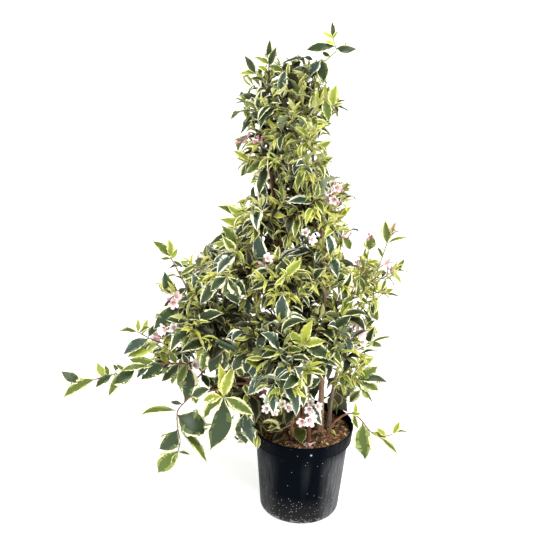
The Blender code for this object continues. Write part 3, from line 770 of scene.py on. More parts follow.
# how old and young leaves differ, and those placed one by one, flatter because their width is what shows
leafForm = dict(
    oldFold=(0.15, 0.45), youngFold=(0.3, 0.7), oldBend=(0.5, 1.6), youngBend=(0.2, 1.4), rim=(0.18, 0.36),
    drawnRim=(0.16, 0.28), drawnFold=0.5, drawnWidth=1.16,
)


def innerShare(place):
    # 0 at the middle of the crown, 1 at its outside
    heights, widths = zip(*growth["crownWidths"])
    return flat(place - crownCentre(place.z)).length / np.interp(place.z, heights, widths)


def setLeaf(rng, pick, piece, base, way, normal, length, widthShare, bend, tone, drawn=False):
    base = Vector(base)
    side = way.cross(normal).normalized()
    fold = pick.uniform(*leafForm["oldFold" if tone in oldAndShadeTones else "youngFold"])
    if drawn:
        fold, widthShare = fold * leafForm["drawnFold"], widthShare * leafForm["drawnWidth"]
    rim = pick.uniform(*leafForm["drawnRim" if drawn else "rim"]) + zoneRule[zoneOf(base)]["rim"]
    points, faces, finishes = leafBlade(rng, length, widthShare, bend, fold, tone, rim)
    turned = points @ np.array([tuple(side), tuple(way), tuple(normal)]) + np.array(base)
    leafHeaps.setdefault(piece, Heap()).add(turned, faces, finishes)


def leafCount():
    return sum(len(heap.points) for heap in leafHeaps.values())


def addLeaf(rng, pick, number, piece, base, way, face, length, tone):
    mass = plan[number]
    rule = zoneRule[zoneOf(base)]
    widthShare = growth["widths"][tone] * rule["narrow"] * pick.uniform(0.86, 1.14)
    bend = rule["curl"] * pick.uniform(*leafForm["oldBend" if tone in oldAndShadeTones else "youngBend"])
    for _ in range(growth["tries"]):
        normal = (face - way * face.dot(way)).normalized()
        tip = base + way * length
        probe = leafProxy(base, way, normal, length, widthShare, bend)
        clear = (
            tip.z > growth["aboveFloor"]
            and not inSky(tip)
            and not inSky(base + way * length * 0.5)
            and inOwnSpace(number, base + way * length * 0.8)
            and solidTrees[mass["name"]].find_nearest(tip, growth["withinSolid"])[0] is not None
            and not solids.touch(*probe)
            and not leafNeighbours.touch(*probe)
        )
        if clear:
            leafNeighbours.add(*probe)
            setLeaf(rng, pick, piece, base, way, normal, length, widthShare, bend, tone)
            return
        way = (way + someWay(pick, 0.4)).normalized()


def pickTone(pick, zone, shift, place):
    # shift towards the fresh end for leaves near a tip; leaves deep inside are old and take the shade tone,
    # which is painted shade
    inside = innerShare(place)
    mostly, partly = zoneRule[zone]["inner"]
    deepest, half = growth["shaded"]
    if pick.random() < (deepest if inside < mostly else half if inside < partly else 0.0):
        return "shade"
    tones = zoneRule[zone]["tones"]
    draw = pick.random()
    for index, tone in enumerate(toneNames):
        draw -= tones[tone]
        if draw <= 0:
            break
    return toneNames[min(max(index + shift, 1), len(toneNames) - 1)]


def dressPath(rng, pick, number, zone, piece, path, spread, bare, sparse, mood):
    # leaves in opposite pairs, each pair a quarter turn from the last, and a tuft at the tip
    rule = zoneRule[zone]
    length = pathLength(path)
    count = max(1, round(length * (1 - bare) / (rule["spacing"] * sparse)))
    turn = pick.uniform(0, math.pi)
    for k in range(1, count + 1):
        share = bare + (1 - bare) * k / count
        near = k >= count - 1
        place, heading = alongPath(path, share - (0.01 if k == count else pick.uniform(0, 0.06)))
        tone = pickTone(pick, zone, mood + (1 if near and pick.random() < 0.8 else 0), place)
        grown = growth["lengths"][tone] * rule["size"] * (0.62 + 0.38 * spread)
        grown *= pick.uniform(*growth["sizes"])
        young = k == count
        angle = pick.uniform(*growth["youngAngles" if young else "oldAngles"])
        for way in pairWays(heading, turn + k * math.pi / 2, angle):
            drop = growth["youngDrop"] if young else rule["drop"]
            way = (way - up * drop * pick.uniform(0.4, 1.5)).normalized()
            face = up + heading * 0.5 + someWay(pick, growth["facing"])
            addLeaf(rng, pick, number, piece, place, way, face, grown * (0.85 if young else 1.0), tone)
    # the tuft: two small pairs that stand up round the bud
    place, heading = path[-1], (path[-1] - path[-2]).normalized()
    for k in range(2):
        for way in pairWays(heading, turn + (count + 1 + k) * math.pi / 2, 26 - 10 * k):
            tone = "fresh" if zone in ("dome", "right") or pick.random() < 0.5 else "lime"
            face = up * 0.6 - heading * 0.4 + someWay(pick, growth["tuftFacing"])
            size = growth["lengths"]["fresh"] * rule["size"] * (1.05 - 0.3 * k)
            addLeaf(rng, pick, number, piece, place, way, face, size, tone)


def twigPath(root, way, length, pick):
    # a twig that bends a little, up to the light or down under its leaves
    side = someWay(pick, 0.16)
    end = root + (way + side * 0.5).normalized() * length
    return bezier([root, root + way * length * 0.35, end - (way + side + up * 0.12) * length * 0.3, end], 6)


def addTwig(piece, path, radius, tipRadius, tone, sides=5):
    radii = [radius + (tipRadius - radius) * i / (len(path) - 1) for i in range(len(path))]
    # each second ring is a node, a little thicker where a pair of leaves sits
    radii = [r * (1.16 if i % 2 and i < len(path) - 1 else 0.96) for i, r in enumerate(radii)]
    points, faces = tube(path, radii, sides)
    twigHeaps.setdefault(piece, Heap()).add([tuple(p) for p in points], faces, twigToneNames.index(tone))


def smoothPath(path, count):
    # the same curve through finer steps
    found = []
    for i in range(count):
        spot = i / (count - 1) * (len(path) - 1)
        k = min(int(spot), len(path) - 2)
        t = spot - k
        a, b, c, d = path[max(k - 1, 0)], path[k], path[k + 1], path[min(k + 2, len(path) - 1)]
        found.append(
            (b * 2 + (c - a) * t + (a * 2 - b * 5 + c * 4 - d) * t * t + (b * 3 - a - c * 3 + d) * t**3) * 0.5
        )
    return found


bearing = []  # every shoot and twig that carries leaves
shoots = []  # the visible shoot of each mass
# where side twigs start along a shoot, their girth, bare share and room, and the longer ones' finer twigs
twigRule = dict(
    shootTip=0.0012, first=0.12, run=0.8, radius=0.0014, tipRadius=0.0008, bare=0.18, probe=0.001,
    fineFrom=0.05, fineAngle=48, fineLength=0.034, fineRadius=0.001, fineTip=0.0007, fineBare=0.4,
)


def partOf(path, share):
    # the path from its start up to a share of it
    count = max(2, round(len(path) * share))
    return [alongPath(path, share * i / (count - 1))[0] for i in range(count)]


def twigHasRoom(number, path):
    if not inOwnSpace(number, path[-1]) or inSky(path[-1]):
        return False
    return not solids.touch(*tube(path[2:], [twigRule["probe"]] * 4, 3))


def growTwigs(number):
    mass = plan[number]
    style = styleOf(mass)
    pick = random.Random(growth["seed"] * 100 + number)
    zone, piece = zoneOf(mass["shoot"][-1]), pieceOf(mass)
    spread = mass["spread"]
    sparse = style.get("sparse", 1.0)
    shoot = smoothPath(mass["shoot"], 12)
    stem = stems[mass["seat"][0]]
    seat, _ = alongPath(stem["path"], mass["seat"][1])
    if mass["seat"][1] < 1:
        shoot = [shoot[0].lerp(seat, 0.6)] + shoot  # the visible shoot springs from inside the cane
    else:
        shoot = [shoot[0] - (shoot[1] - shoot[0]).normalized() * 0.006] + shoot
    shoots.append(shoot)
    shown = style.get("shownTo", 1.0)
    if shown > 0:
        bark = pick.choice(["russet", "russet", "umber", "tan"])
        radius = mass["radius"] * 0.92 * style.get("slim", 1.0)
        addTwig(piece, partOf(shoot, shown), radius, twigRule["shootTip"], style.get("bark", bark), 6)

    def bear(path, size, bare):
        mood = pick.choices((-1, 0, 1), (25, 50, 25))[0]
        bearing.append(dict(
            number=number, zone=zone, piece=piece, path=path, spread=size, bare=bare, sparse=sparse,
            mood=mood,
        ))

    leavesTo, twigsTo = style.get("leavesTo", 1.0), style.get("twigsTo", 1.0)
    if leavesTo > 0:
        bear(partOf(shoot, leavesTo), spread, growth["bareShare"])
    count = max(2, round(pathLength(shoot) / shootRule["twigSpacing"] * growth["fineTwigs"] / sparse**0.5))
    turn = pick.uniform(0, math.pi)
    for k in range(count):
        share = twigRule["first"] + twigRule["run"] * (k + 0.5) / count
        if share > twigsTo:
            break
        place, heading = alongPath(shoot, share)
        size = shootRule["twigLength"] * spread * (1.15 - 0.55 * share)
        for way in pairWays(heading, turn + k * math.pi / 2, shootRule["twigAngle"]):
            way = (way + up * shootRule["twigLift"]).normalized()
            path = twigPath(place, way, size * pick.uniform(0.7, 1.1), pick)
            if not twigHasRoom(number, path):
                continue
            tone = pick.choice(["russet", "green", "green", "tan"])
            addTwig(piece, path, twigRule["radius"], twigRule["tipRadius"], tone)
            bear(path, spread * 0.92, twigRule["bare"])
            if pathLength(path) < twigRule["fineFrom"]:
                continue
            # a pair of finer twigs from the twig itself
            fork, onward = alongPath(path, pick.uniform(0.35, 0.6))
            for aside in pairWays(onward, pick.uniform(0, 3.1), twigRule["fineAngle"]):
                fine = twigPath(fork, aside, twigRule["fineLength"] * pick.uniform(0.7, 1.2), pick)
                if twigHasRoom(number, fine):
                    addTwig(piece, fine, twigRule["fineRadius"], twigRule["fineTip"], "green", 4)
                    bear(fine, spread * 0.85, twigRule["fineBare"])


for number in range(len(plan)):
    growTwigs(number)
print("twigs grown:", len(bearing))

# Sprays that stand out in the photograph, drawn on the shoots that carry them. A twig springs from a share of
# the mass's shoot and goes through points (u, v, y), its u and v in pixels; without points it is the shoot
# itself. A leaf: share of the twig, its tip's u and v, how far the tip stands back in metres, tone, width,
# and how much its face turns from the sky to the camera.
drawnSprays = [
    dict(mass="arch_left", leaves=[
        (0.05, 184, 402, -0.012, "deep", 0.44, 1.0), (0.18, 147, 374, 0.008, "deep", 0.62, 0.8),
        (0.24, 141, 380, -0.012, "deep", 0.42, 0.8), (0.14, 161, 382, -0.016, "deep", 0.46, 0.9),
        (0.08, 177, 385, -0.016, "mid", 0.36, 0.8), (0.3, 129, 359, 0.015, "mid", 0.34, 0.6),
        (0.36, 136, 379, -0.015, "blue", 0.4, 0.5), (0.38, 121, 371, -0.02, "mid", 0.26, 0.4),
        (0.47, 110, 385, -0.01, "deep", 0.48, 0.9), (0.6, 108, 397, -0.016, "mid", 0.34, 0.8),
        (0.62, 113, 364, 0.014, "deep", 0.4, 0.7), (0.66, 95, 388, -0.01, "deep", 0.48, 0.9),
        (0.74, 97, 362, 0.006, "lime", 0.5, 0.9), (0.7, 105, 365, 0.004, "mid", 0.44, 0.9),
        (0.56, 116, 364, 0.006, "mid", 0.34, 0.7), (0.8, 63, 398, -0.01, "mid", 0.29, 0.8),
        (0.92, 61, 371, 0.006, "deep", 0.44, 0.9), (0.97, 71, 386, -0.004, "mid", 0.3, 0.4),
        (0.22, 160, 352, 0.02, "lime", 0.36, 0.7), (0.12, 172, 385, 0.01, "mid", 0.36, 0.6),
    ]),
    dict(mass="spray_left", leaves=[
        (0.5, 163, 364, -0.01, "lime", 0.34, 0.7), (0.62, 157, 364, -0.015, "deep", 0.52, 1.0),
        (0.66, 172, 334, 0.012, "mid", 0.4, 0.7), (0.7, 127, 357, -0.004, "lime", 0.34, 0.7),
        (0.78, 131, 354, 0.01, "blue", 0.34, 0.6), (0.83, 123, 355, -0.008, "blue", 0.32, 0.7),
        (0.85, 162, 324, 0.01, "deep", 0.42, 0.6), (0.92, 148, 318, 0.006, "lime", 0.34, 0.8),
        (1.0, 116, 332, 0.0, "mid", 0.36, 0.6), (0.99, 138, 318, 0.004, "lime", 0.34, 0.8),
        (0.97, 150, 327, -0.01, "mid", 0.4, 0.6),
    ]),
    dict(mass="spray_left_low", leaves=[
        (0.3, 209, 388, -0.01, "deep", 0.55, 0.9), (0.45, 196, 404, 0.01, "mid", 0.34, 0.6),
    ]),
    dict(mass="droop_left", start=0.02, twig=[
        (203, 393, -0.118), (192, 396, -0.12), (184, 403, -0.122), (178, 410, -0.122), (177, 418, -0.124),
        (178, 430, -0.125), (180, 441, -0.126), (178, 452, -0.126),
    ], leaves=[
        (0.26, 210, 389, -0.01, "deep", 0.55, 0.9), (0.52, 140, 416, 0.004, "mid", 0.19, 0.4),
        (0.4, 170, 402, 0.01, "blue", 0.34, 0.4), (0.58, 209, 433, -0.012, "deep", 0.66, 1.0),
        (0.71, 207, 463, -0.006, "mid", 0.22, 0.5), (0.74, 159, 449, 0.008, "deep", 0.54, 1.0),
        (0.98, 158, 473, -0.004, "mid", 0.5, 1.0), (1.0, 190, 455, 0.006, "mid", 0.3, 0.5),
        (1.0, 171, 467, -0.01, "mid", 0.34, 0.8), (0.86, 168, 440, 0.02, "mid", 0.34, 0.6),
    ]),
    dict(mass="droop_left", start=0.02, twig=[(218, 394, -0.124), (224, 397, -0.128)], leaves=[
        (1.0, 210, 450, -0.01, "deep", 0.44, 1.0), (0.8, 203, 401, 0.004, "lime", 0.44, 0.8),
        (0.9, 204, 418, -0.004, "mid", 0.4, 0.8), (1.0, 254, 415, -0.006, "mid", 0.34, 0.8),
        (0.85, 219, 363, -0.004, "fresh", 0.26, 0.8), (0.95, 235, 364, -0.004, "lime", 0.27, 0.8),
    ]),
    dict(mass="tier1_3", leaves=[
        (0.9, 258, 414, -0.014, "mid", 0.36, 0.7), (0.85, 241, 413, 0.01, "mid", 0.42, 0.7),
        (0.95, 202, 378, 0.012, "deep", 0.42, 0.6),
    ]),
    dict(mass="tier1_4", leaves=[
        (0.62, 255, 446, -0.008, "blue", 0.42, 0.9), (0.66, 246, 444, 0.01, "deep", 0.5, 0.8),
        (0.5, 240, 398, 0.01, "mid", 0.36, 0.6),
    ]),
    dict(mass="right_low", start=0.02, twig=[
        (362, 421, -0.025), (369, 430, -0.026), (377, 436, -0.027), (386, 436, -0.028), (393, 434, -0.028),
    ], leaves=[
        (0.22, 365, 460, -0.012, "mid", 0.4, 1.0), (0.05, 356, 402, 0.004, "fresh", 0.28, 0.8),
        (0.66, 398, 454, -0.006, "mid", 0.26, 0.6), (0.8, 376, 428, 0.008, "lime", 0.44, 0.7),
        (1.0, 400, 421, 0.004, "lime", 0.38, 0.8), (1.0, 409, 433, -0.004, "mid", 0.22, 0.2),
        (0.45, 388, 447, 0.012, "lime", 0.3, 0.5),
    ]),
    dict(mass="right_high", leaves=[
        (0.88, 385, 220, 0.002, "mid", 0.42, 1.0), (0.92, 403, 231, -0.006, "lime", 0.28, 0.5),
        (0.88, 409, 238, 0.006, "lime", 0.22, 0.4), (1.0, 397, 221, 0.006, "fresh", 0.32, 0.7),
        (0.55, 400, 263, -0.004, "mid", 0.2, 0.3), (0.55, 364, 262, 0.004, "lime", 0.26, 0.5),
        (0.3, 359, 279, 0.004, "lime", 0.34, 0.6), (0.3, 388, 291, -0.006, "lime", 0.36, 0.7),
        (0.7, 377, 247, 0.01, "mid", 0.3, 0.6), (0.4, 367, 283, -0.015, "fresh", 0.3, 0.6),
    ]),
    dict(mass="right_high", start=0.35, twig=[(367, 266, 0.008), (369, 250, 0.006)], leaves=[
        (1.0, 372, 234, 0.0, "mid", 0.6, 1.0), (0.55, 354, 255, -0.004, "mid", 0.24, 0.4),
        (0.6, 380, 261, -0.01, "lime", 0.3, 0.5), (0.98, 363, 241, 0.004, "lime", 0.4, 0.7),
    ]),
    dict(mass="right_high", start=0.45, twig=[(386, 279, -0.006), (394, 274, -0.01)], leaves=[
        (1.0, 401, 284, -0.006, "lime", 0.32, 0.7), (0.95, 399, 269, 0.0, "fresh", 0.3, 0.6),
        (0.5, 381, 291, -0.006, "mid", 0.36, 0.6),
    ]),
    dict(mass="right_high", start=0.1, twig=[(375, 299, -0.004), (383, 294, -0.008)], leaves=[
        (1.0, 400, 297, -0.004, "mid", 0.2, 0.3), (0.95, 384, 281, 0.0, "mid", 0.5, 0.9),
        (0.5, 374, 316, -0.01, "deep", 0.36, 0.8), (0.55, 366, 289, 0.008, "lime", 0.32, 0.6),
    ]),
    dict(mass="spray_right_middle", leaves=[
        (0.88, 393, 337, -0.004, "mid", 0.16, 0.3), (0.8, 375, 326, 0.006, "deep", 0.4, 0.8),
        (0.84, 382, 347, 0.004, "mid", 0.36, 0.7),
    ]),
    dict(mass="tier2_7", leaves=[
        (0.78, 388, 383, -0.004, "deep", 0.3, 0.6), (0.76, 379, 391, -0.01, "mid", 0.52, 0.9),
        (0.76, 378, 366, 0.006, "mid", 0.46, 0.8), (0.6, 374, 405, -0.008, "mid", 0.2, 0.4),
    ]),
    dict(mass="upright_right", start=0.4, twig=[
        (319, 63, -0.004), (325, 61, -0.004), (331, 56, -0.002), (336, 51, -0.001), (335, 45, 0.0),
        (333, 38, 0.0),
    ], leaves=[
        (0.2, 309, 78, -0.01, "blue", 0.5, 1.0), (0.24, 324, 82, -0.012, "deep", 0.54, 1.0),
        (0.48, 322, 51, 0.006, "deep", 0.5, 0.8), (0.74, 357, 49, -0.006, "deep", 0.46, 0.9),
        (0.8, 306, 50, 0.004, "deep", 0.36, 0.8), (0.86, 325, 41, -0.004, "fresh", 0.32, 0.7),
        (1.0, 332, 21, 0.0, "deep", 0.34, 0.9), (0.96, 322, 32, 0.004, "fresh", 0.3, 0.6),
        (0.97, 339, 31, -0.004, "lime", 0.28, 0.7), (0.3, 322, 66, 0.008, "mid", 0.3, 0.6),
    ]),
    dict(mass="upright_right", start=0.12, twig=[(322, 100, -0.012), (333, 107, -0.016)], leaves=[
        (1.0, 337, 84, 0.0, "lime", 0.42, 0.9), (0.95, 347, 100, 0.006, "mid", 0.26, 0.4),
        (0.6, 326, 84, 0.01, "fresh", 0.34, 0.8), (0.95, 350, 114, -0.006, "blue", 0.36, 0.4),
        (0.6, 329, 122, -0.01, "mid", 0.38, 0.8),
    ]),
    dict(mass="upright_left", leaves=[
        (0.94, 270, 39, 0.0, "deep", 0.36, 0.9), (0.9, 277, 46, -0.006, "deep", 0.36, 0.9),
        (0.92, 254, 57, 0.004, "lime", 0.4, 0.7), (0.9, 284, 71, -0.006, "mid", 0.4, 0.7),
        (0.84, 257, 66, -0.004, "lime", 0.32, 0.6), (0.5, 238, 96, -0.006, "deep", 0.2, 0.4),
        (0.36, 241, 104, 0.004, "deep", 0.18, 0.3),
    ]),
    dict(mass="upright_left", start=0.62, twig=[(262, 77, 0.002), (256, 74, 0.002)], leaves=[
        (1.0, 244, 55, 0.002, "deep", 0.34, 0.9), (0.97, 239, 74, -0.004, "lime", 0.32, 0.7),
        (0.95, 242, 79, 0.004, "lime", 0.22, 0.4),
    ]),
    dict(mass="spray_top_middle", leaves=[
        (1.0, 279, 65, -0.004, "blue", 0.32, 0.5), (1.0, 313, 60, 0.004, "deep", 0.4, 0.7),
        (0.96, 297, 55, 0.006, "deep", 0.46, 0.7), (0.9, 316, 72, -0.006, "lime", 0.34, 0.6),
    ]),
    dict(mass="shoulder_left", leaves=[
        (1.0, 152, 241, 0.004, "mid", 0.34, 0.8), (1.0, 168, 238, -0.002, "lime", 0.34, 0.9),
        (0.97, 160, 259, -0.006, "mid", 0.3, 0.6), (0.92, 183, 268, -0.006, "deep", 0.36, 0.7),
        (0.96, 178, 248, 0.006, "lime", 0.46, 0.8), (0.72, 159, 281, -0.004, "mid", 0.14, 0.3),
        (0.7, 197, 264, 0.006, "mid", 0.26, 0.5), (0.5, 172, 299, -0.006, "deep", 0.34, 0.7),
        (0.48, 203, 270, 0.01, "deep", 0.26, 0.5), (0.84, 190, 261, 0.01, "lime", 0.3, 0.6),
        (0.36, 183, 316, -0.006, "deep", 0.34, 0.8), (0.38, 209, 291, 0.004, "lime", 0.32, 0.7),
        (0.62, 170, 276, 0.008, "mid", 0.26, 0.5), (0.6, 204, 280, -0.006, "mid", 0.3, 0.6),
    ]),
    dict(mass="tier3_4", leaves=[
        (1.0, 173, 321, -0.006, "deep", 0.22, 0.6), (0.95, 160, 312, 0.004, "lime", 0.3, 0.6),
        (0.9, 182, 332, -0.01, "lime", 0.4, 0.8), (1.0, 176, 290, 0.006, "mid", 0.34, 0.7),
    ]),
    dict(mass="spray_shoulder", leaves=[
        (0.6, 226, 204, 0.004, "lime", 0.32, 0.8), (0.62, 241, 203, -0.004, "lime", 0.3, 0.9),
        (0.58, 216, 206, 0.008, "mid", 0.3, 0.7), (0.5, 247, 212, 0.006, "mid", 0.28, 0.7),
        (0.45, 222, 237, -0.01, "deep", 0.46, 0.9), (0.4, 208, 246, -0.004, "deep", 0.22, 0.5),
        (0.55, 219, 219, -0.01, "lime", 0.28, 0.6),
    ]),
]
# a drawn twig's girth, the steps forward that a leaf takes while a solid is in its way, how its face turns
# and how far it bends, less where it is turned to the camera
drawnRule = dict(
    radius=0.0019, tipRadius=0.001, closer=(0.0, -0.012, -0.024, -0.036), sky=1.05, jitter=0.25, openFrom=0.8,
    bend=(0.5, 1.3), openBend=(0.4, 0.9), singleBend=(0.4, 1.1), seeds=dict(sprays=900, singles=700),
)
leafNeighbours = Neighbours(0.04)
drawnTwigs = []


def drawnNormal(pick, base, way, turned):
    # a drawn leaf's face looks to the sky, or to the camera as far as it is turned
    face = up * (drawnRule["sky"] - turned) + (eye - base).normalized() * turned
    face += someWay(pick, drawnRule["jitter"])
    return (face - way * face.dot(way)).normalized()


def growDrawn(number, spray):
    index = [mass["name"] for mass in plan].index(f"foliage_{spray['mass']}")
    piece = pieceOf(plan[index])
    pick = random.Random(drawnRule["seeds"]["sprays"] + number)
    rng = np.random.default_rng(drawnRule["seeds"]["sprays"] + number)
    path = shoots[index]
    if "twig" in spray:
        start, _ = alongPath(path, spray["start"])
        corners = [start] + [throughPixel(*point) for point in spray["twig"]]
        path = smoothPath(corners, 4 + 3 * len(spray["twig"]))
        tone = "russet" if spray["start"] < 0.05 else "green"
        addTwig(piece, path, drawnRule["radius"], drawnRule["tipRadius"], tone, 6)
        drawnTwigs.append(dict(path=path, piece=piece))
    for share, u, v, back, tone, width, turned in spray["leaves"]:
        base, _ = alongPath(path, share)
        for closer in drawnRule["closer"]:
            tip = throughPixel(u, v, base.y + back + closer)
            way, length = (tip - base).normalized(), (tip - base).length
            normal = drawnNormal(pick, base, way, turned)
            bend = pick.uniform(*drawnRule["bend" if turned < drawnRule["openFrom"] else "openBend"])
            probe = leafProxy(base, way, normal, length, width, bend)
            if not solids.touch(*probe):
                break
        else:
            print("left out by a solid:", spray["mass"], u, v)
            continue
        leafNeighbours.add(*probe)
        setLeaf(rng, pick, piece, base, way, normal, length, width, bend, tone, True)


for number, spray in enumerate(drawnSprays):
    growDrawn(number, spray)
print("drawn sprays grown:", leafCount(), "leaves")


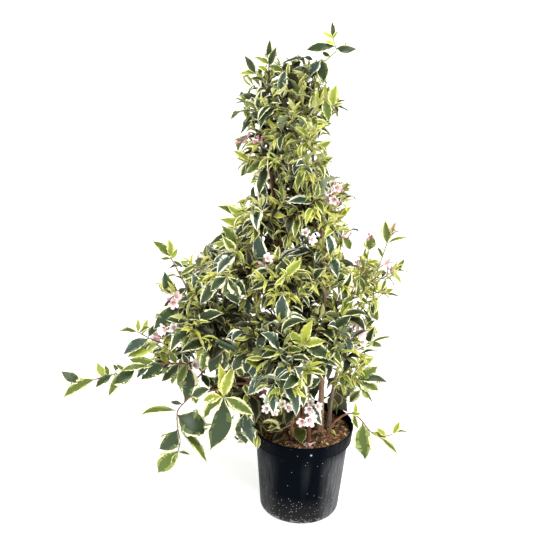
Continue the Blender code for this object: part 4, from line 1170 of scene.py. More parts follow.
# Single leaves that stand out in front: pixel and y near their base, the tip's pixel, how far it stands back,
# tone, width, turn to the camera. Each sits on the nearest shoot or twig.
drawnLeaves = [
    (275, 383, -0.15, 250, 401, -0.01, "blue", 0.44, 0.9),
    (277, 383, -0.15, 297, 406, -0.012, "blue", 0.36, 0.8),
    (306, 386, -0.08, 322, 377, -0.006, "deep", 0.48, 0.8),
    (312, 330, -0.2, 293, 322, -0.008, "lime", 0.4, 0.9),
    (312, 330, -0.2, 331, 334, -0.008, "lime", 0.42, 0.9),
    (312, 331, -0.2, 302, 347, -0.012, "lime", 0.42, 0.9),
    (314, 331, -0.2, 337, 352, -0.012, "deep", 0.4, 0.9),
    (312, 330, -0.2, 318, 312, 0.0, "fresh", 0.36, 0.8),
    (248, 256, -0.12, 219, 271, -0.01, "blue", 0.3, 0.6),
    (240, 268, -0.14, 253, 292, -0.014, "deep", 0.5, 1.0),
    (272, 243, -0.12, 270, 292, -0.014, "blue", 0.24, 0.8),
    (218, 287, -0.11, 200, 310, -0.01, "deep", 0.32, 0.9),
    (349, 268, -0.04, 362, 291, -0.008, "mid", 0.26, 0.8),
    (262, 197, -0.02, 240, 207, -0.006, "deep", 0.36, 0.6),
    (226, 222, -0.04, 221, 238, -0.006, "deep", 0.5, 0.9),
    (252, 117, 0.0, 239, 136, -0.004, "deep", 0.24, 0.6),
    (248, 160, 0.0, 231, 150, -0.004, "lime", 0.32, 0.7), (246, 165, 0.0, 234, 160, 0.0, "fresh", 0.3, 0.6),
    (320, 135, -0.02, 335, 123, -0.004, "mid", 0.36, 0.7),
    (318, 161, -0.02, 335, 156, -0.004, "mid", 0.18, 0.3),
    (330, 168, -0.01, 340, 156, 0.0, "mid", 0.3, 0.6),
    (322, 170, -0.02, 331, 182, -0.006, "deep", 0.46, 0.8),
    (338, 194, -0.01, 350, 184, 0.0, "mid", 0.22, 0.4), (340, 215, -0.01, 353, 203, 0.0, "lime", 0.26, 0.5),
    (268, 100, -0.01, 276, 120, -0.008, "deep", 0.42, 1.0),
    (294, 138, -0.03, 300, 156, -0.01, "blue", 0.46, 1.0),
    (262, 90, -0.01, 270, 82, 0.0, "blue", 0.44, 0.8),
    (306, 108, -0.02, 296, 118, -0.006, "deep", 0.5, 0.9),
    (268, 172, -0.03, 262, 176, -0.006, "deep", 0.5, 0.9),
    (320, 408, -0.06, 328, 429, -0.006, "blue", 0.38, 0.9),
    (172, 312, -0.04, 149, 333, -0.006, "deep", 0.46, 0.9),
    (205, 262, -0.02, 191, 263, -0.006, "mid", 0.26, 0.6),
    (209, 247, -0.01, 190, 258, -0.004, "mid", 0.2, 0.5),
    (262, 258, -0.16, 262, 276, -0.01, "lime", 0.34, 0.8),
    (300, 268, -0.18, 310, 255, -0.006, "lime", 0.44, 0.9),
    (230, 350, -0.17, 238, 372, -0.01, "deep", 0.48, 1.0),
    (262, 330, -0.19, 256, 350, -0.01, "deep", 0.44, 1.0),
    (215, 330, -0.11, 205, 347, -0.008, "mid", 0.42, 0.9),
    (285, 352, -0.18, 296, 366, -0.01, "deep", 0.46, 0.9),
    (208, 254, -0.04, 205, 271, -0.006, "lime", 0.42, 0.9),
    (210, 249, -0.03, 195, 269, -0.004, "deep", 0.22, 0.6),
    (222, 249, -0.05, 211, 262, -0.006, "deep", 0.5, 0.8),
    (219, 231, -0.03, 208, 245, -0.004, "deep", 0.24, 0.5),
    (207, 273, -0.05, 187, 272, -0.004, "mid", 0.22, 0.4),
    (214, 278, -0.06, 196, 281, -0.006, "lime", 0.26, 0.5),
    (226, 243, -0.06, 218, 232, 0.0, "mid", 0.4, 0.7),
    (232, 232, -0.06, 243, 222, -0.004, "lime", 0.3, 0.8),
    (228, 262, -0.08, 236, 250, -0.004, "lime", 0.34, 0.8),
    (199, 283, -0.06, 189, 296, -0.006, "mid", 0.36, 0.8),
    (220, 300, -0.12, 207, 303, -0.006, "deep", 0.5, 0.8),
    (222, 312, -0.14, 236, 322, -0.01, "deep", 0.5, 0.9),
    (280, 205, -0.06, 268, 196, 0.0, "fresh", 0.28, 0.8),
    (284, 214, -0.08, 296, 204, 0.0, "lime", 0.32, 0.8),
    (272, 224, -0.09, 258, 218, -0.004, "fresh", 0.28, 0.7),
    (292, 226, -0.1, 306, 217, -0.004, "lime", 0.3, 0.7),
    (301, 205, -0.04, 315, 213, -0.006, "deep", 0.4, 0.8),
    (264, 232, -0.09, 250, 240, -0.006, "blue", 0.36, 0.8),
    (330, 222, -0.04, 342, 212, 0.0, "lime", 0.3, 0.7),
    (326, 240, -0.06, 340, 246, -0.006, "mid", 0.34, 0.7),
    (274, 222, -0.06, 266, 236, -0.006, "mid", 0.3, 0.8),
    (282, 228, -0.06, 290, 243, -0.006, "lime", 0.3, 0.8),
    (276, 236, -0.08, 285, 250, -0.006, "fresh", 0.28, 0.7),
    (270, 240, -0.08, 258, 248, -0.006, "lime", 0.28, 0.7),
    (276, 212, -0.05, 284, 226, -0.006, "deep", 0.34, 0.9),
    (268, 206, -0.05, 256, 214, -0.004, "fresh", 0.26, 0.7),
    (268, 186, -0.04, 276, 200, -0.006, "lime", 0.28, 0.8),
    (266, 178, -0.04, 254, 190, -0.006, "mid", 0.32, 0.8),
    (268, 164, -0.04, 277, 178, -0.006, "mid", 0.34, 0.8),
    (264, 158, -0.04, 253, 170, -0.006, "lime", 0.3, 0.8),
    (266, 148, -0.04, 276, 160, -0.006, "deep", 0.36, 0.9),
    (262, 142, -0.04, 253, 152, -0.006, "fresh", 0.28, 0.7),
    (272, 132, -0.04, 262, 143, -0.006, "lime", 0.3, 0.7),
    (284, 150, -0.04, 294, 140, -0.004, "lime", 0.28, 0.7),
    (286, 166, -0.04, 297, 172, -0.006, "mid", 0.34, 0.8),
    (300, 178, -0.04, 290, 190, -0.006, "lime", 0.3, 0.8),
    (306, 190, -0.04, 316, 200, -0.006, "mid", 0.3, 0.8),
    (292, 196, -0.05, 282, 206, -0.006, "fresh", 0.26, 0.8),
    (362, 313, 0.0, 356, 303, 0.0, "mid", 0.34, 0.8), (365, 313, -0.02, 370, 303, 0.0, "lime", 0.3, 0.8),
    (374, 312, 0.0, 382, 304, 0.0, "mid", 0.32, 0.8), (373, 312, 0.0, 367, 305, 0.0, "lime", 0.34, 0.8),
    (371, 314, -0.01, 379, 327, -0.006, "mid", 0.44, 0.9),
    (374, 318, -0.01, 382, 330, -0.006, "lime", 0.4, 0.8),
    (368, 316, -0.01, 373, 335, -0.006, "deep", 0.22, 0.7),
    (360, 316, -0.01, 356, 327, -0.006, "mid", 0.46, 0.9),
    (366, 326, -0.01, 376, 320, -0.004, "mid", 0.36, 0.8),
    (352, 398, -0.02, 345, 407, -0.006, "mid", 0.44, 0.8),
    (358, 396, -0.02, 366, 402, -0.004, "lime", 0.36, 0.8),
    (357, 404, -0.02, 356, 420, -0.004, "lime", 0.34, 0.8),
    (352, 386, -0.02, 362, 394, -0.004, "lime", 0.36, 0.8),
    (322, 118, 0.0, 337, 112, -0.004, "lime", 0.36, 0.8),
    (322, 128, 0.0, 334, 126, -0.004, "mid", 0.36, 0.8),
    (254, 142, 0.0, 241, 146, -0.004, "lime", 0.36, 0.8),
    (338, 388, -0.02, 350, 396, -0.006, "lime", 0.42, 0.8),
    (258, 172, 0.0, 247, 182, -0.004, "mid", 0.36, 0.8),
    (257, 178, 0.0, 250, 188, -0.004, "lime", 0.34, 0.8), (232, 228, -0.02, 219, 217, 0.0, "mid", 0.4, 0.8),
    (230, 236, -0.02, 217, 228, 0.0, "deep", 0.4, 0.8), (226, 242, -0.02, 212, 238, 0.0, "mid", 0.4, 0.8),
    (222, 249, -0.02, 205, 243, 0.0, "lime", 0.34, 0.8), (250, 82, 0.0, 240, 75, 0.0, "lime", 0.34, 0.8),
    (196, 368, -0.06, 205, 376, -0.006, "mid", 0.36, 0.8),
    (200, 352, -0.09, 192, 366, -0.006, "lime", 0.34, 0.8),
    (188, 358, -0.06, 180, 370, -0.006, "deep", 0.42, 0.8),
    (212, 362, -0.11, 205, 380, -0.006, "deep", 0.46, 0.9),
    (222, 366, -0.13, 214, 384, -0.006, "deep", 0.46, 0.9),
    (232, 370, -0.14, 243, 384, -0.006, "blue", 0.44, 0.9),
    (240, 364, -0.15, 229, 377, -0.006, "deep", 0.44, 0.9),
    (250, 370, -0.16, 261, 383, -0.006, "deep", 0.44, 0.9),
    (204, 362, -0.1, 195, 380, -0.006, "mid", 0.38, 0.8),
    (219, 369, -0.048, 211, 384, -0.012, "deep", 0.46, 0.9),
    (230, 373, -0.046, 238, 388, -0.012, "deep", 0.46, 0.9),
    (240, 378, -0.045, 233, 362, -0.012, "mid", 0.38, 0.9),
    (249, 384, -0.044, 259, 374, -0.012, "deep", 0.42, 0.9),
    (226, 384, -0.13, 216, 400, -0.008, "mid", 0.46, 0.9),
    (238, 382, -0.09, 247, 398, -0.01, "mid", 0.44, 0.9),
    (178, 366, -0.052, 170, 352, -0.008, "mid", 0.4, 0.9),
    (190, 366, -0.05, 183, 354, -0.008, "deep", 0.42, 0.9),
    (198, 364, -0.05, 206, 352, -0.008, "lime", 0.34, 0.9),
    (300, 378, -0.06, 309, 364, -0.01, "deep", 0.42, 0.9),
    (326, 372, -0.04, 336, 386, -0.01, "mid", 0.4, 0.9),
    (334, 378, -0.03, 345, 372, -0.01, "lime", 0.36, 0.8), (334, 150, 0.0, 343, 140, 0.0, "lime", 0.3, 0.7),
    (250, 176, 0.0, 241, 184, -0.004, "mid", 0.36, 0.7),
    (256, 128, -0.01, 247, 122, 0.0, "lime", 0.34, 0.7), (330, 112, -0.01, 342, 106, 0.0, "lime", 0.3, 0.7),
    (326, 130, 0.0, 336, 117, 0.0, "lime", 0.4, 0.9), (322, 138, 0.0, 330, 128, 0.0, "mid", 0.4, 0.9),
    (258, 166, 0.0, 244, 176, 0.0, "mid", 0.42, 0.9), (257, 174, 0.0, 245, 186, 0.0, "lime", 0.42, 0.9),
    (228, 212, 0.0, 217, 225, 0.0, "mid", 0.42, 0.9), (222, 226, 0.0, 211, 236, 0.0, "lime", 0.42, 0.9),
    (214, 238, 0.0, 201, 246, 0.0, "mid", 0.42, 0.9), (204, 248, 0.0, 193, 257, 0.0, "mid", 0.42, 0.9),
    (340, 243, 0.0, 350, 253, 0.0, "mid", 0.42, 0.9), (381, 291, 0.0, 393, 287, 0.0, "lime", 0.42, 0.9),
    (372, 317, 0.0, 378, 333, 0.0, "mid", 0.44, 0.9), (366, 351, 0.0, 375, 344, 0.0, "lime", 0.42, 0.9),
    (364, 368, 0.0, 377, 360, 0.0, "lime", 0.42, 0.9), (350, 402, 0.0, 361, 408, 0.0, "lime", 0.42, 0.9),
    (353, 404, 0.0, 358, 424, 0.0, "mid", 0.36, 0.9),
]
# what a single leaf or a cluster may sit on: twigs, stems and what shows of each shoot, or else its foot
carriers = bearing + drawnTwigs
carriers += [dict(path=partOf(stem["path"], 1.0)[3:], piece="foot") for stem in stems.values()]
carriers += [
    dict(path=partOf(shoot, styleOf(mass).get("shownTo", 1.0) or 0.1), piece=pieceOf(mass))
    for mass, shoot in zip(plan, shoots)
]
bearingPoints = np.array([tuple(point) for twig in carriers for point in twig["path"]])
bearingOwner = [twig for twig in carriers for _ in twig["path"]]


def nearestTwig(place):
    gaps = np.linalg.norm(bearingPoints - np.array(place), axis=1)
    found = int(gaps.argmin())
    return Vector(bearingPoints[found]), bearingOwner[found], float(gaps[found])


def growDrawnLeaf(number, leaf):
    u, v, y, tipU, tipV, back, tone, width, turned = leaf
    pick = random.Random(drawnRule["seeds"]["singles"] + number)
    rng = np.random.default_rng(drawnRule["seeds"]["singles"] + number)
    wanted = throughPixel(u, v, y)
    base, twig, _ = nearestTwig(wanted)
    tip = throughPixel(tipU, tipV, base.y + back) + (base - wanted) * 0.5
    way, length = (tip - base).normalized(), min((tip - base).length, leafBuild["longest"])
    normal = drawnNormal(pick, base, way, turned)
    bend = pick.uniform(*drawnRule["singleBend"])
    probe = leafProxy(base, way, normal, length, width, bend)
    if solids.touch(*probe):
        print("left out by a solid:", u, v)
        return
    leafNeighbours.add(*probe)
    setLeaf(rng, pick, twig["piece"], base, way, normal, length, width, bend, tone, True)


for number, leaf in enumerate(drawnLeaves):
    growDrawnLeaf(number, leaf)

# Blossom: funnels of five lobes in clusters, and rosy buds
bloomSizes = dict(
    length=0.024, mouth=0.0106, columns=20, stalk=0.007, petal=0.0004, budLength=0.021, budWidth=0.0135,
    clearLength=0.03, clearRadius=0.011, clearFrom=0.005, twigFrom=0.006, tries=24, seed=500, otherSeeds=600,
)
# clusters that the photograph shows: pixel and y, open flowers, buds, how white; a stalk joins each to the
# nearest shoot or twig
drawnBlooms = [
    (171, 302, -0.04, 2, 1, 0.1), (170, 325, -0.05, 3, 1, 0.4), (338, 184, -0.02, 2, 2, 0.3),
    (338, 197, -0.03, 3, 1, 0.4), (307, 239, -0.08, 2, 0, 0.7), (357, 332, -0.085, 2, 1, 0.5),
    (360, 342, -0.09, 4, 0, 0.9), (267, 407, -0.16, 3, 0, 1.0), (282, 406, -0.166, 4, 1, 0.9),
    (313, 406, -0.08, 3, 0, 0.8), (308, 417, -0.084, 3, 0, 0.5), (243, 140, -0.01, 0, 5, 0.2),
    (259, 141, -0.05, 0, 4, 0.4), (394, 229, 0.0, 0, 5, 0.1), (370, 237, 0.004, 0, 4, 0.1),
    (391, 272, -0.006, 1, 2, 0.2), (191, 369, -0.08, 1, 1, 0.8), (349, 238, -0.01, 0, 3, 0.0),
    (262, 262, -0.13, 1, 2, 0.6),
]
# clusters of the sides and the back, which the photograph doesn't show: place, open flowers, buds, how white
otherBlooms = [
    (0.12, 0.19, 0.52, 5, 2, 0.5), (-0.12, 0.23, 0.42, 5, 2, 0.6), (-0.24, 0.15, 0.54, 4, 3, 0.3),
    (-0.04, 0.08, 0.9, 3, 2, 0.4), (0.04, 0.1, 0.7, 3, 2, 0.6), (-0.02, 0.25, 0.36, 3, 2, 0.7),
    (0.11, 0.15, 0.4, 4, 1, 0.5), (-0.33, 0.04, 0.4, 3, 2, 0.4), (-0.07, 0.18, 0.64, 3, 2, 0.5),
]
bloomHeap = Heap()


def turnedTo(points, base, way, roll=0.0):
    # points made along +Z, set at the base and turned to the way
    turn = way.to_track_quat("Z", "Y").to_matrix() @ Matrix.Rotation(roll, 3, "Z")
    return points @ np.array(turn).T + np.array(base)


def addBloom(pick, base, way, white):
    size = pick.uniform(0.86, 1.12)
    wideness = pick.uniform(0.8, 1.12)
    columns = bloomSizes["columns"]
    # the funnel's rings from its foot to its rim: radius and height as shares, and how far each is lobed
    rings = [
        (0.07, 0.0, 0.0), (0.1, 0.14, 0.0), (0.13, 0.34, 0.0), (0.28, 0.54, 0.0), (0.47, 0.7, 0.0),
        (0.6, 0.8, 0.25), (0.8, 0.9, 0.8), (1.02, 0.98, 1.0), (1.16, 0.985, 1.0),
    ]
    angles = np.arange(columns) * 2 * np.pi / columns
    lobes = np.array([1.0, 0.86, 0.22, 0.86] * (columns // 4))
    curl = pick.uniform(-0.05, 0.12)
    outer = []
    for radius, height, lobed in rings:
        reach = 1 - lobed * (1 - lobes) * 0.46
        out = radius * reach * (wideness if height > 0.6 else 1.0) * bloomSizes["mouth"]
        along = height - lobed * (1 - lobes) * 0.16 - (curl * lobes if radius > 1.1 else 0.0)
        along = np.broadcast_to(along, (columns,)) * bloomSizes["length"]
        outer.append(np.stack([np.cos(angles) * out, np.sin(angles) * out, along], axis=1))
    inner = []
    for k, ring in enumerate(outer[1:-1], 1):
        run = outer[k + 1] - outer[k - 1]
        slope = np.stack([-np.linalg.norm(run[:, :2], axis=1), run[:, 2]], axis=1)
        slope /= np.linalg.norm(slope, axis=1)[:, None]
        radial = ring[:, :2] / np.maximum(np.linalg.norm(ring[:, :2], axis=1), 1e-9)[:, None]
        moved = ring.copy()
        moved[:, :2] -= radial * slope[:, 1:2] * bloomSizes["petal"]
        moved[:, 2] -= slope[:, 0] * bloomSizes["petal"]
        inner.append(moved)
    shell = outer + inner[::-1]
    points = np.concatenate(shell) * size
    index = petalToneNames.index
    lobeTone = index("white") if pick.random() < white else index("blush")
    backTone = index("blush") if lobeTone == index("white") else index("rose")
    # the tube, the lobes' backs, their faces with the rim, and the throat
    bands = [index("rose")] * 5 + [backTone] * 3 + [lobeTone] * 4 + [index("throat")] * (len(shell) - 13)
    finishes = [tone for tone in bands for _ in range(columns)]
    roll = pick.uniform(0, 6.28)
    bloomHeap.add(turnedTo(points, base, way, roll), ringFaces(len(shell), columns), finishes)
    # five stamens and a style in the throat
    for k in range(6):
        angle = k * 2 * math.pi / 5
        radius = 0.0 if k == 5 else 0.0022
        foot = Vector((0, 0, 0.012))
        head = Vector((math.cos(angle) * radius, math.sin(angle) * radius, 0.021 + (0.006 if k == 5 else 0)))
        stalk, sides = tube([foot, foot.lerp(head, 0.8), head], [0.0002, 0.0002, 0.0007], 4)
        stalk = np.array([tuple(p) for p in stalk]) * size
        bloomHeap.add(turnedTo(stalk, base, way, roll), sides, index("anther"))


def addBud(pick, base, way):
    size = pick.uniform(0.5, 1.0)
    rings = [(0.09, 0.0), (0.11, 0.25), (0.16, 0.5), (0.26, 0.7), (0.28, 0.84), (0.16, 0.96), (0.03, 1.0)]
    points = []
    for radius, height in rings:
        for i in range(8):
            angle = i * math.pi / 4 + height * 0.8
            ridge = 1 + 0.1 * (i % 2)
            out = radius * ridge * bloomSizes["budWidth"]
            points.append((math.cos(angle) * out, math.sin(angle) * out, height * bloomSizes["budLength"]))
    faces = ringFaces(len(rings), 8) + [tuple(range(48, 56))]
    tones = [
        petalToneNames.index("rose" if k < 2 else "bud") for k in range(len(rings) - 1) for _ in range(8)
    ]
    turned = turnedTo(np.array(points) * size, base, way)
    bloomHeap.add(turned, faces, tones + [petalToneNames.index("bud")])


def addCalyx(base, way):
    # the slender ovary and five narrow sepals
    tone = petalToneNames.index("calyx")
    top = base + way * bloomSizes["stalk"]
    points, faces = tube([base, base.lerp(top, 0.6), top], [0.0006, 0.0009, 0.0011], 5)
    bloomHeap.add([tuple(p) for p in points], faces, tone)
    turn = way.to_track_quat("Z", "Y").to_matrix()
    for k in range(5):
        out = Vector((math.cos(k * 1.2566), math.sin(k * 1.2566), 0))
        root = turn @ (out * 0.0008)
        tip = turn @ (out * 0.0026 + Vector((0, 0, 0.0065)))
        wide = turn @ Vector((-out.y, out.x, 0)) * 0.0006
        points = [top + root + wide, top + root - wide, top + tip, top + root * 0.4]
        bloomHeap.add([tuple(p) for p in points], [(0, 1, 2), (1, 3, 2), (3, 0, 2)], tone)


def bloomProxy(base, way):
    # a cone of the room that a flower takes, to test against what is there
    across = way.orthogonal().normalized()
    over = way.cross(across)
    mouth = base + way * bloomSizes["clearLength"]
    points = [base]
    for i in range(6):
        angle = i * math.pi / 3
        points.append(mouth + (across * math.cos(angle) + over * math.sin(angle)) * bloomSizes["clearRadius"])
    return points, [(0, 1 + i, 1 + (i + 1) % 6) for i in range(6)] + [(1, 2, 3, 4, 5, 6)]


def setFlower(pick, base, way, white, bud):
    proxy = bloomProxy(base + way * bloomSizes["clearFrom"], way)
    if leafNeighbours.touch(*proxy) or solids.touch(*proxy):
        return False
    leafNeighbours.add(*proxy)
    addCalyx(base, way)
    root = base + way * (bloomSizes["stalk"] - 0.0004)  # a little inside its calyx
    if bud:
        addBud(pick, root, way)
    else:
        addBloom(pick, root, way, white)
    return True


def addCluster(number, spot, drawn):
    pick = random.Random(number)
    *at, flowers, buds, white = spot
    at = throughPixel(*at) if drawn else Vector(at)
    root, twig, gap = nearestTwig(at)
    if gap > bloomSizes["twigFrom"]:
        # a short flowering twig that leaves its twig and turns up to the cluster
        turn = (at - root).normalized()
        path = bezier([root, root + turn * gap * 0.4, at - (turn + up * 0.4) * gap * 0.3, at], 7)
        addTwig(twig["piece"], path, 0.0012, 0.0009, "green")
        place, heading = at, (at - path[-2]).normalized()
    else:
        place, heading = root, (at - crownCentre(at.z)).normalized()
    outward = (eye - place).normalized() * 1.5 if drawn else flat(place - crownCentre(place.z)).normalized()
    made = 0
    for k in range(flowers + buds):
        # several ways are tried until a flower or bud finds room
        for _ in range(bloomSizes["tries"]):
            way = (outward + heading * 0.3 + up * 0.2 + someWay(pick, 0.9)).normalized()
            if setFlower(pick, place - heading * pick.uniform(0.0, 0.012), way, white, k >= flowers):
                made += 1
                break
    return made


# leaves that lie on the compost: their foot's and tip's pixels, tone and width; and a bloom: pixel, height
# and way
# the second leaf wears the shade tone, which is painted shade
fallenLeaves = [
    (296, 427, 302, 444, "mid", 0.48), (283, 433, 272, 441, "shade", 0.34),
    (327, 428, 336, 436, "lime", 0.34),
]
fallenBloom = dict(at=(315, 442, 0.21), way=(-0.75, -0.6, -0.12), seed=77)


def layFallen():
    # three fallen leaves and a fallen bloom on the compost, where the photograph shows them
    pick, rng = random.Random(fallenBloom["seed"]), np.random.default_rng(fallenBloom["seed"])
    for u, v, tipU, tipV, tone, width in fallenLeaves:
        base, tip = throughPixel(u, v, 0.2065, 2), throughPixel(tipU, tipV, 0.206, 2)
        way, length = (tip - base).normalized(), (tip - base).length
        normal = (up - way * up.dot(way)).normalized()
        probe = leafProxy(base, way, normal, length, 0.5, 0.2)
        leafNeighbours.add(*probe)
        setLeaf(rng, pick, "foot", base, way, normal, length, width, 0.2, tone, True)
    addBloom(pick, throughPixel(*fallenBloom["at"], 2), Vector(fallenBloom["way"]).normalized(), 0.0)


layFallen()
bloomCount = 0
for spots, drawn in ((drawnBlooms, True), (otherBlooms, False)):
    seed = bloomSizes["seed" if drawn else "otherSeeds"]
    bloomCount += sum(addCluster(number, spot, drawn) for number, spot in enumerate(spots, seed))
print("blossom set:", bloomCount, "flowers and buds,", bloomHeap.triangles(), "triangles")

for number, twig in enumerate(bearing):
    pick = random.Random(growth["seed"] * 10000 + number)
    rng = np.random.default_rng(growth["seed"] * 10000 + number)
    dressPath(rng, pick, **twig)
print("foliage grown:", leafCount(), "leaves,", sum(h.triangles() for h in leafHeaps.values()), "triangles")
print({zone: heap.triangles() for zone, heap in leafHeaps.items()})

leafSet = leafFinishes()
twigSet = twigFinishes()
pieceOfMass = {mass["name"]: pieceOf(mass) for mass in plan}
for piece, heap in leafHeaps.items():
    leaves = heap.toObject(f"leaves_{piece}", leafSet)
    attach(leaves, "root")
    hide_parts(*[name for name in massNames if pieceOfMass[name] == piece])
for piece, heap in twigHeaps.items():
    twigs = heap.toObject(f"twigs_{piece}", twigSet, 80)
    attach(twigs, "root")
print("leaves and twigs joined")

blossom = bloomHeap.toObject("blossom", petalFinishes(), 75)
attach(blossom, "root")


# Canes: the source's limbs with round sections and bark in relief
caneRule = dict(
    step=0.005, sides=14, inside=0.97, furrow=0.055, furrowRound=1.7, furrowAlong=38, nodeSpacing=0.062,
    nodeSwell=0.1, nodeWidth=0.0035, seed=3,
)
barkTones = {
    "russet": dict(dark="#4a2d1f", main="#7d5138", pale="#a98163"),
    "tan": dict(dark="#5c4630", main="#94775a", pale="#b9a182"),
    "grey": dict(dark="#4b3f33", main="#7f7060", pale="#a69a88"),
}


def barkFinish(tone):
    # Weigela bark, grown: it splits along the cane into fine papery strips, with pale pores across it,
    # and gives the eye a dull, streaky brown. Furrows about 1.5 mm wide and 20 mm long, pores 1 mm.
    colours = barkTones[tone]
    made, tree, shader = newFinish(f"caneBark_{tone}", colours["main"], 0.78)
    spot = addNode(tree, "Attribute", {"attribute_name": "barkPlace"})
    stretched = addNode(
        tree, "VectorMath", {"operation": "MULTIPLY", 1: (650, 650, 50)}, {0: (spot, "Vector")}
    )
    streaks = addNode(
        tree, "TexNoise", {"Scale": 1.0, "Detail": 5.0, "Roughness": 0.62}, {"Vector": (stretched, "Vector")}
    )
    colour = addNode(tree, "ValToRGB", {"stops": [
        (0.3, linearColour(colours["dark"])), (0.5, linearColour(colours["main"])),
        (0.72, linearColour(colours["pale"])),
    ]}, {"Fac": (streaks, "Fac")})
    poreSpots = addNode(
        tree, "VectorMath", {"operation": "MULTIPLY", 1: (330, 330, 420)}, {0: (spot, "Vector")}
    )
    pores = addNode(tree, "TexVoronoi", {"Scale": 1.0}, {"Vector": (poreSpots, "Vector")})
    poreMask = addNode(
        tree, "MapRange", {"From Min": 0.16, "From Max": 0.1, "To Max": 0.75}, {"Value": (pores, "Distance")}
    )
    mixed = addNode(
        tree, "Mix", {"data_type": "RGBA", 7: linearColour(colours["pale"])},
        {0: (poreMask, "Result"), 6: (colour, "Color")},
    )
    bump = addNode(tree, "Bump", {"Strength": 0.6, "Distance": 0.0006}, {"Height": (streaks, "Fac")})
    tree.links.new(mixed.outputs[2], shader.inputs["Base Color"])
    tree.links.new(bump.outputs["Normal"], shader.inputs["Normal"])
    return made


def makeCane(name, stem, finish):
    path = smoothPath(stem["path"], max(12, round(pathLength(stem["path"]) / caneRule["step"])))
    sides, radii = caneRule["sides"], stem["radii"]
    ways = headings(path)
    ways[0] = up
    across = ways[0].orthogonal().normalized()
    points, places = [], []
    length = 0.0
    seed = caneRule["seed"] + sum(map(ord, name))
    for k, (place, way) in enumerate(zip(path, ways)):
        length += (place - path[k - 1]).length if k else 0.0
        share = k / (len(path) - 1)
        radius = np.interp(share * (len(radii) - 1), range(len(radii)), radii) * caneRule["inside"]
        across = (across - way * across.dot(way)).normalized()
        over = way.cross(across)
        past = (length / caneRule["nodeSpacing"]) % 1
        toNode = min(past, 1 - past) * caneRule["nodeSpacing"]
        swell = caneRule["nodeSwell"] * math.exp(-((toNode / caneRule["nodeWidth"]) ** 2))
        turn = math.floor(length / caneRule["nodeSpacing"] + 0.5) * math.pi / 2
        for i in range(sides):
            angle = 2 * math.pi * i / sides
            wide = caneRule["furrowRound"]
            along = length * caneRule["furrowAlong"] + seed
            spot = Vector((math.cos(angle) * wide, math.sin(angle) * wide, along))
            furrow = noise.noise(spot) * caneRule["furrow"]
            furrow += noise.noise(spot * 2.3) * caneRule["furrow"] * 0.6
            scar = swell * (0.5 + 0.9 * max(0.0, math.cos(2 * (angle - turn))) ** 2)
            r = radius * (1 + furrow + scar)
            points.append(place + (across * math.cos(angle) + over * math.sin(angle)) * r)
            places.append((math.cos(angle) * radius, math.sin(angle) * radius, length + seed * 0.1))
    ends = [tuple(reversed(range(sides))), tuple(range(len(points) - sides, len(points)))]
    heap = Heap()
    heap.add([tuple(p) for p in points], ringFaces(len(path), sides) + ends, 0)
    cane = heap.toObject(f"cane_{name}", [finish], 60)
    spots = cane.data.attributes.new("barkPlace", "FLOAT_VECTOR", "POINT")
    spots.data.foreach_set("vector", np.array(places, np.float32).ravel())
    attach(cane, "root")
    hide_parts(f"stem_{name}")


barks = {tone: barkFinish(tone) for tone in barkTones}
for name, stem in stems.items():
    makeCane(name, stem, barks[stem["sizes"]["bark"]])
print("canes made:", len(stems))


# Pot
potSizes = dict(
    radius=0.118, height=0.216, collar=0.033, collarDraft=0.003, bodyTop=0.1072, bodyFoot=0.0927,
    footRound=0.009, wall=0.0022, floor=0.0032, lip=0.0042, sides=160,
    drains=6, drainRadius=0.0065, drainCircle=0.066, recess=0.0012, recessRadius=0.046,
    splash=(0.0185, -0.1152, 0.199),
)
# where handling and weather marked the pot, and where a highlight is painted on it: axis, where a mark
# begins and ends, and its strength at each
potMarks = {
    # both bands are scuffs with a painted highlight in them, and the right one fades towards the back
    "leftScuffHighlight": ("X", -0.048, -0.086, 0, 0.22, "SMOOTHSTEP"),  # scuffed, broad
    "rightScuffHighlight": ("X", 0.036, 0.094, 0, 0.85, "SMOOTHSTEP"),  # scuffed, narrower and paler
    "ahead": ("Y", 0.035, -0.005, 0.12, 1, "LINEAR"),  # the right band fades round the side
    "belowLedge": ("Z", 0.184, 0.15, 0.1, 1, "LINEAR"),
    "low": ("Z", 0.1, 0.015, 0, 1, "LINEAR"),  # rain throws soil at the lower half
    "foot": ("Z", 0.017, 0.009, 0, 0.5, "LINEAR"),
    "haze": ("Z", 0.075, 0, 0, 0.05, "LINEAR"),
}


